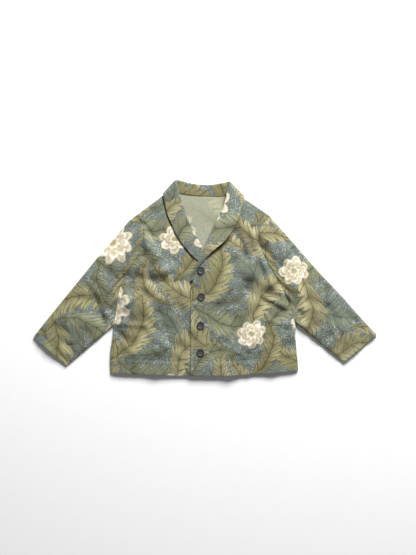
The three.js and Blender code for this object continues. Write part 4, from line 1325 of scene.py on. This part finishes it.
def add_buttons(resin, thread):
    shape = button_shape(resin)
    loops = thread_shape(thread)
    for node in BUTTONS:
        low, high = (np.array(corner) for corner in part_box(node))
        x, y = (low + high)[:2] / 2 / MM
        under = Vector(on_front("left", x, y, BUTTON_CLEARANCE) * MM)
        button = copy_to(shape, f"{node}_turned", under)
        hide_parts(node)
        copy_to(loops, f"{node}_thread", under)
    bpy.data.objects.remove(shape)
    bpy.data.objects.remove(loops)


def stitch_shape(length):
    """One stitch: a short rounded length of thread along X."""
    deselect()
    bpy.ops.mesh.primitive_uv_sphere_add(segments=6, ring_count=4, radius=0.5)
    stitch = bpy.context.active_object
    stitch.data.transform(Matrix.Rotation(math.pi / 2, 4, "Y"))
    stitch.data.transform(Matrix.Diagonal((length, STITCH["width"], STITCH["width"], 1)))
    vertices = np.array([v.co for v in stitch.data.vertices])
    faces = [list(f.vertices) for f in stitch.data.polygons]
    bpy.data.objects.remove(stitch)
    return vertices, faces


def stitch_row(name, lines, thread, size=STITCH, turn=0.0):
    """Stitches at even steps along lines of points on the cloth's top, joined as one piece.
    turn swings each one round from the line's own direction."""
    vertices, faces = stitch_shape(size["length"])
    points, all_faces = [], []
    for line in lines:
        lengths = lengths_along(line)
        count = max(int(lengths[-1] / size["pitch"]), 1)
        stations = (np.arange(count) + 0.5) * lengths[-1] / count
        behind, place, ahead = (points_at(line, lengths, stations + step) for step in (-0.5, 0, 0.5))
        for p, run in zip(place, ahead - behind):
            run = run / np.linalg.norm(run)
            side = np.cross(UP, run)
            side = side / np.linalg.norm(side)
            top = np.cross(run, side)
            across, run = (
                side * math.cos(turn) - run * math.sin(turn),
                run * math.cos(turn) + side * math.sin(turn),
            )
            first = sum(len(q) for q in points)
            points.append(p + vertices @ np.stack([run, across, top]))
            all_faces += [[first + v for v in face] for face in faces]
    mesh = bpy.data.meshes.new(name)
    mesh.from_pydata((np.vstack(points) * MM).tolist(), [], all_faces)
    mesh.materials.append(thread)
    piece = add_object(name, mesh)
    make_active(piece)
    bpy.ops.object.shade_smooth()
    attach(piece, "root")


def on_front(side, x, y, above=STITCH_HEIGHT):
    """Points over the top of a front's cloth. One of x and y may be a single number."""
    xy = np.stack(np.broadcast_arrays(x, y), axis=-1)
    return with_height(xy, front_height(side, xy) + CLOTH / 2 + above)


def hem_line(side):
    x = np.linspace(*HEM_ENDS[side], STITCH_LINE_POINTS)
    hem = np.interp(x, HEM_LINE[:, 0], HEM_LINE[:, 1])
    return on_front(side, x, hem + HEM_FOLD)


def edge_line():
    y = np.linspace(*EDGE_ENDS, STITCH_LINE_POINTS)
    return on_front("left", HEM_MIDDLE["left"][0] + EDGE_STITCH, y)


def cuff_line(grid, side):
    """Line across the top of a sleeve at the depth of its turned up cuff."""
    top = HALVES[side]["sleeve_top"]
    length = np.linalg.norm(np.subtract(top[-1], top[0]))
    row = grid[int(round(SLEEVE_ROWS * (1 - CUFF_FOLD / length)))]
    line = row[slice(*CUFF_ENDS)].copy()
    line[:, 2] += CLOTH / 2 + CUFF_STITCH_HEIGHT
    return line


def buttonhole_lines(place, offset):
    """Line beside a buttonhole's slit, on the cloth."""
    x = np.linspace(BUTTONHOLE["start"], BUTTONHOLE["end"], BUTTONHOLE["points"])
    return on_front("left", x, place / MM + offset, BUTTONHOLE["height"])


def add_buttonholes(thread, slit_shade):
    """Buttonholes sewn across the front edge, each half under its button. A row of dark stitches runs
    down each slit as painted shadow of its opening.
    """
    rows, bars, slit_shadows = [], [], []
    for node in BUTTONS:
        low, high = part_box(node)
        place = (low[1] + high[1]) / 2
        for offset in (-BUTTONHOLE["half"], BUTTONHOLE["half"]):
            rows.append(buttonhole_lines(place, offset))
        # dark marks down the slit itself: painted shadow of the opening, not real thread
        slit_shadows.append(buttonhole_lines(place, 0)[1:-1])
        y = place / MM + np.linspace(-BUTTONHOLE_BAR["half"], BUTTONHOLE_BAR["half"], 5)
        for shift in BUTTONHOLE_BAR["shifts"]:
            bars.append(on_front("left", BUTTONHOLE["end"] + shift, y))
    stitch_row("buttonhole_stitching", rows, thread, BUTTONHOLE, turn=math.pi / 2)
    stitch_row("buttonhole_bars", bars, thread, BUTTONHOLE_BAR)
    stitch_row("buttonhole_slit_painted_shadow", slit_shadows, slit_shade, SLIT_SHADOW_MARKS)


def cut_out(node, grid, cloth):
    """Grid of a node's piece, its place on the print, and whether its faces turn the other way."""
    return [(grid, cloth + CUT_FROM[node], node.endswith("left"))]


def add_cloth(right_side, wrong_side):
    """Every cloth piece by the node it stands for, and the grids of the sleeves."""
    both = [right_side, wrong_side]
    pieces = {}
    for side in HALVES:
        node = f"front_{side}"
        pieces[node] = cloth_piece(f"{node}_panel", cut_out(node, *front_grid(side)), CLOTH, both)
    grids = [(grid, cloth * [-1, 1], True) for grid, cloth in back_grids()]
    pieces["back"] = cloth_piece("back_panel", grids, CLOTH, both)
    sleeves = {}
    for side in HALVES:
        node = f"sleeve_{side}"
        grid, cloth = sleeve_grid(side)
        sleeves[side] = grid
        pieces[node] = cloth_piece(f"{node}_tube", cut_out(node, grid, cloth), CLOTH, both)
    collar = cut_out("collar", *collar_grid())
    pieces["collar"] = cloth_piece("shawl_collar", collar, COLLAR_CLOTH, [right_side, right_side])
    for node, piece in pieces.items():
        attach(piece, "root")
        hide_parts(node)
    return pieces, sleeves


def main():
    add_camera()
    add_studio()
    drawing = print_group()
    right_side = printed_twill("printed_cotton_twill", drawing, 0.0)
    wrong_side = printed_twill("printed_cotton_twill_wrong_side", drawing, 0.6)
    resin = button_resin()
    thread = sewing_thread("spun_cotton_thread", "#77806f", "#959c88")
    pale_thread = sewing_thread("pale_cotton_thread", "#aeb09f", "#c6c7b6")
    # dark thread for the buttons' loops, and also the painted shadow down the buttonhole slits
    dark_thread_and_slit_shade = sewing_thread("dark_cotton_thread_and_slit_shade", "#3d3b42", "#5a5860")
    pieces, sleeves = add_cloth(right_side, wrong_side)
    add_buttons(resin, dark_thread_and_slit_shade)
    stitch_row("hem_stitching", [hem_line("right"), hem_line("left")], thread)
    stitch_row("front_edge_stitching", [edge_line()], thread)
    stitch_row("cuff_stitching", [cuff_line(sleeves[side], side) for side in HALVES], thread)
    add_buttonholes(pale_thread, dark_thread_and_slit_shade)


main()
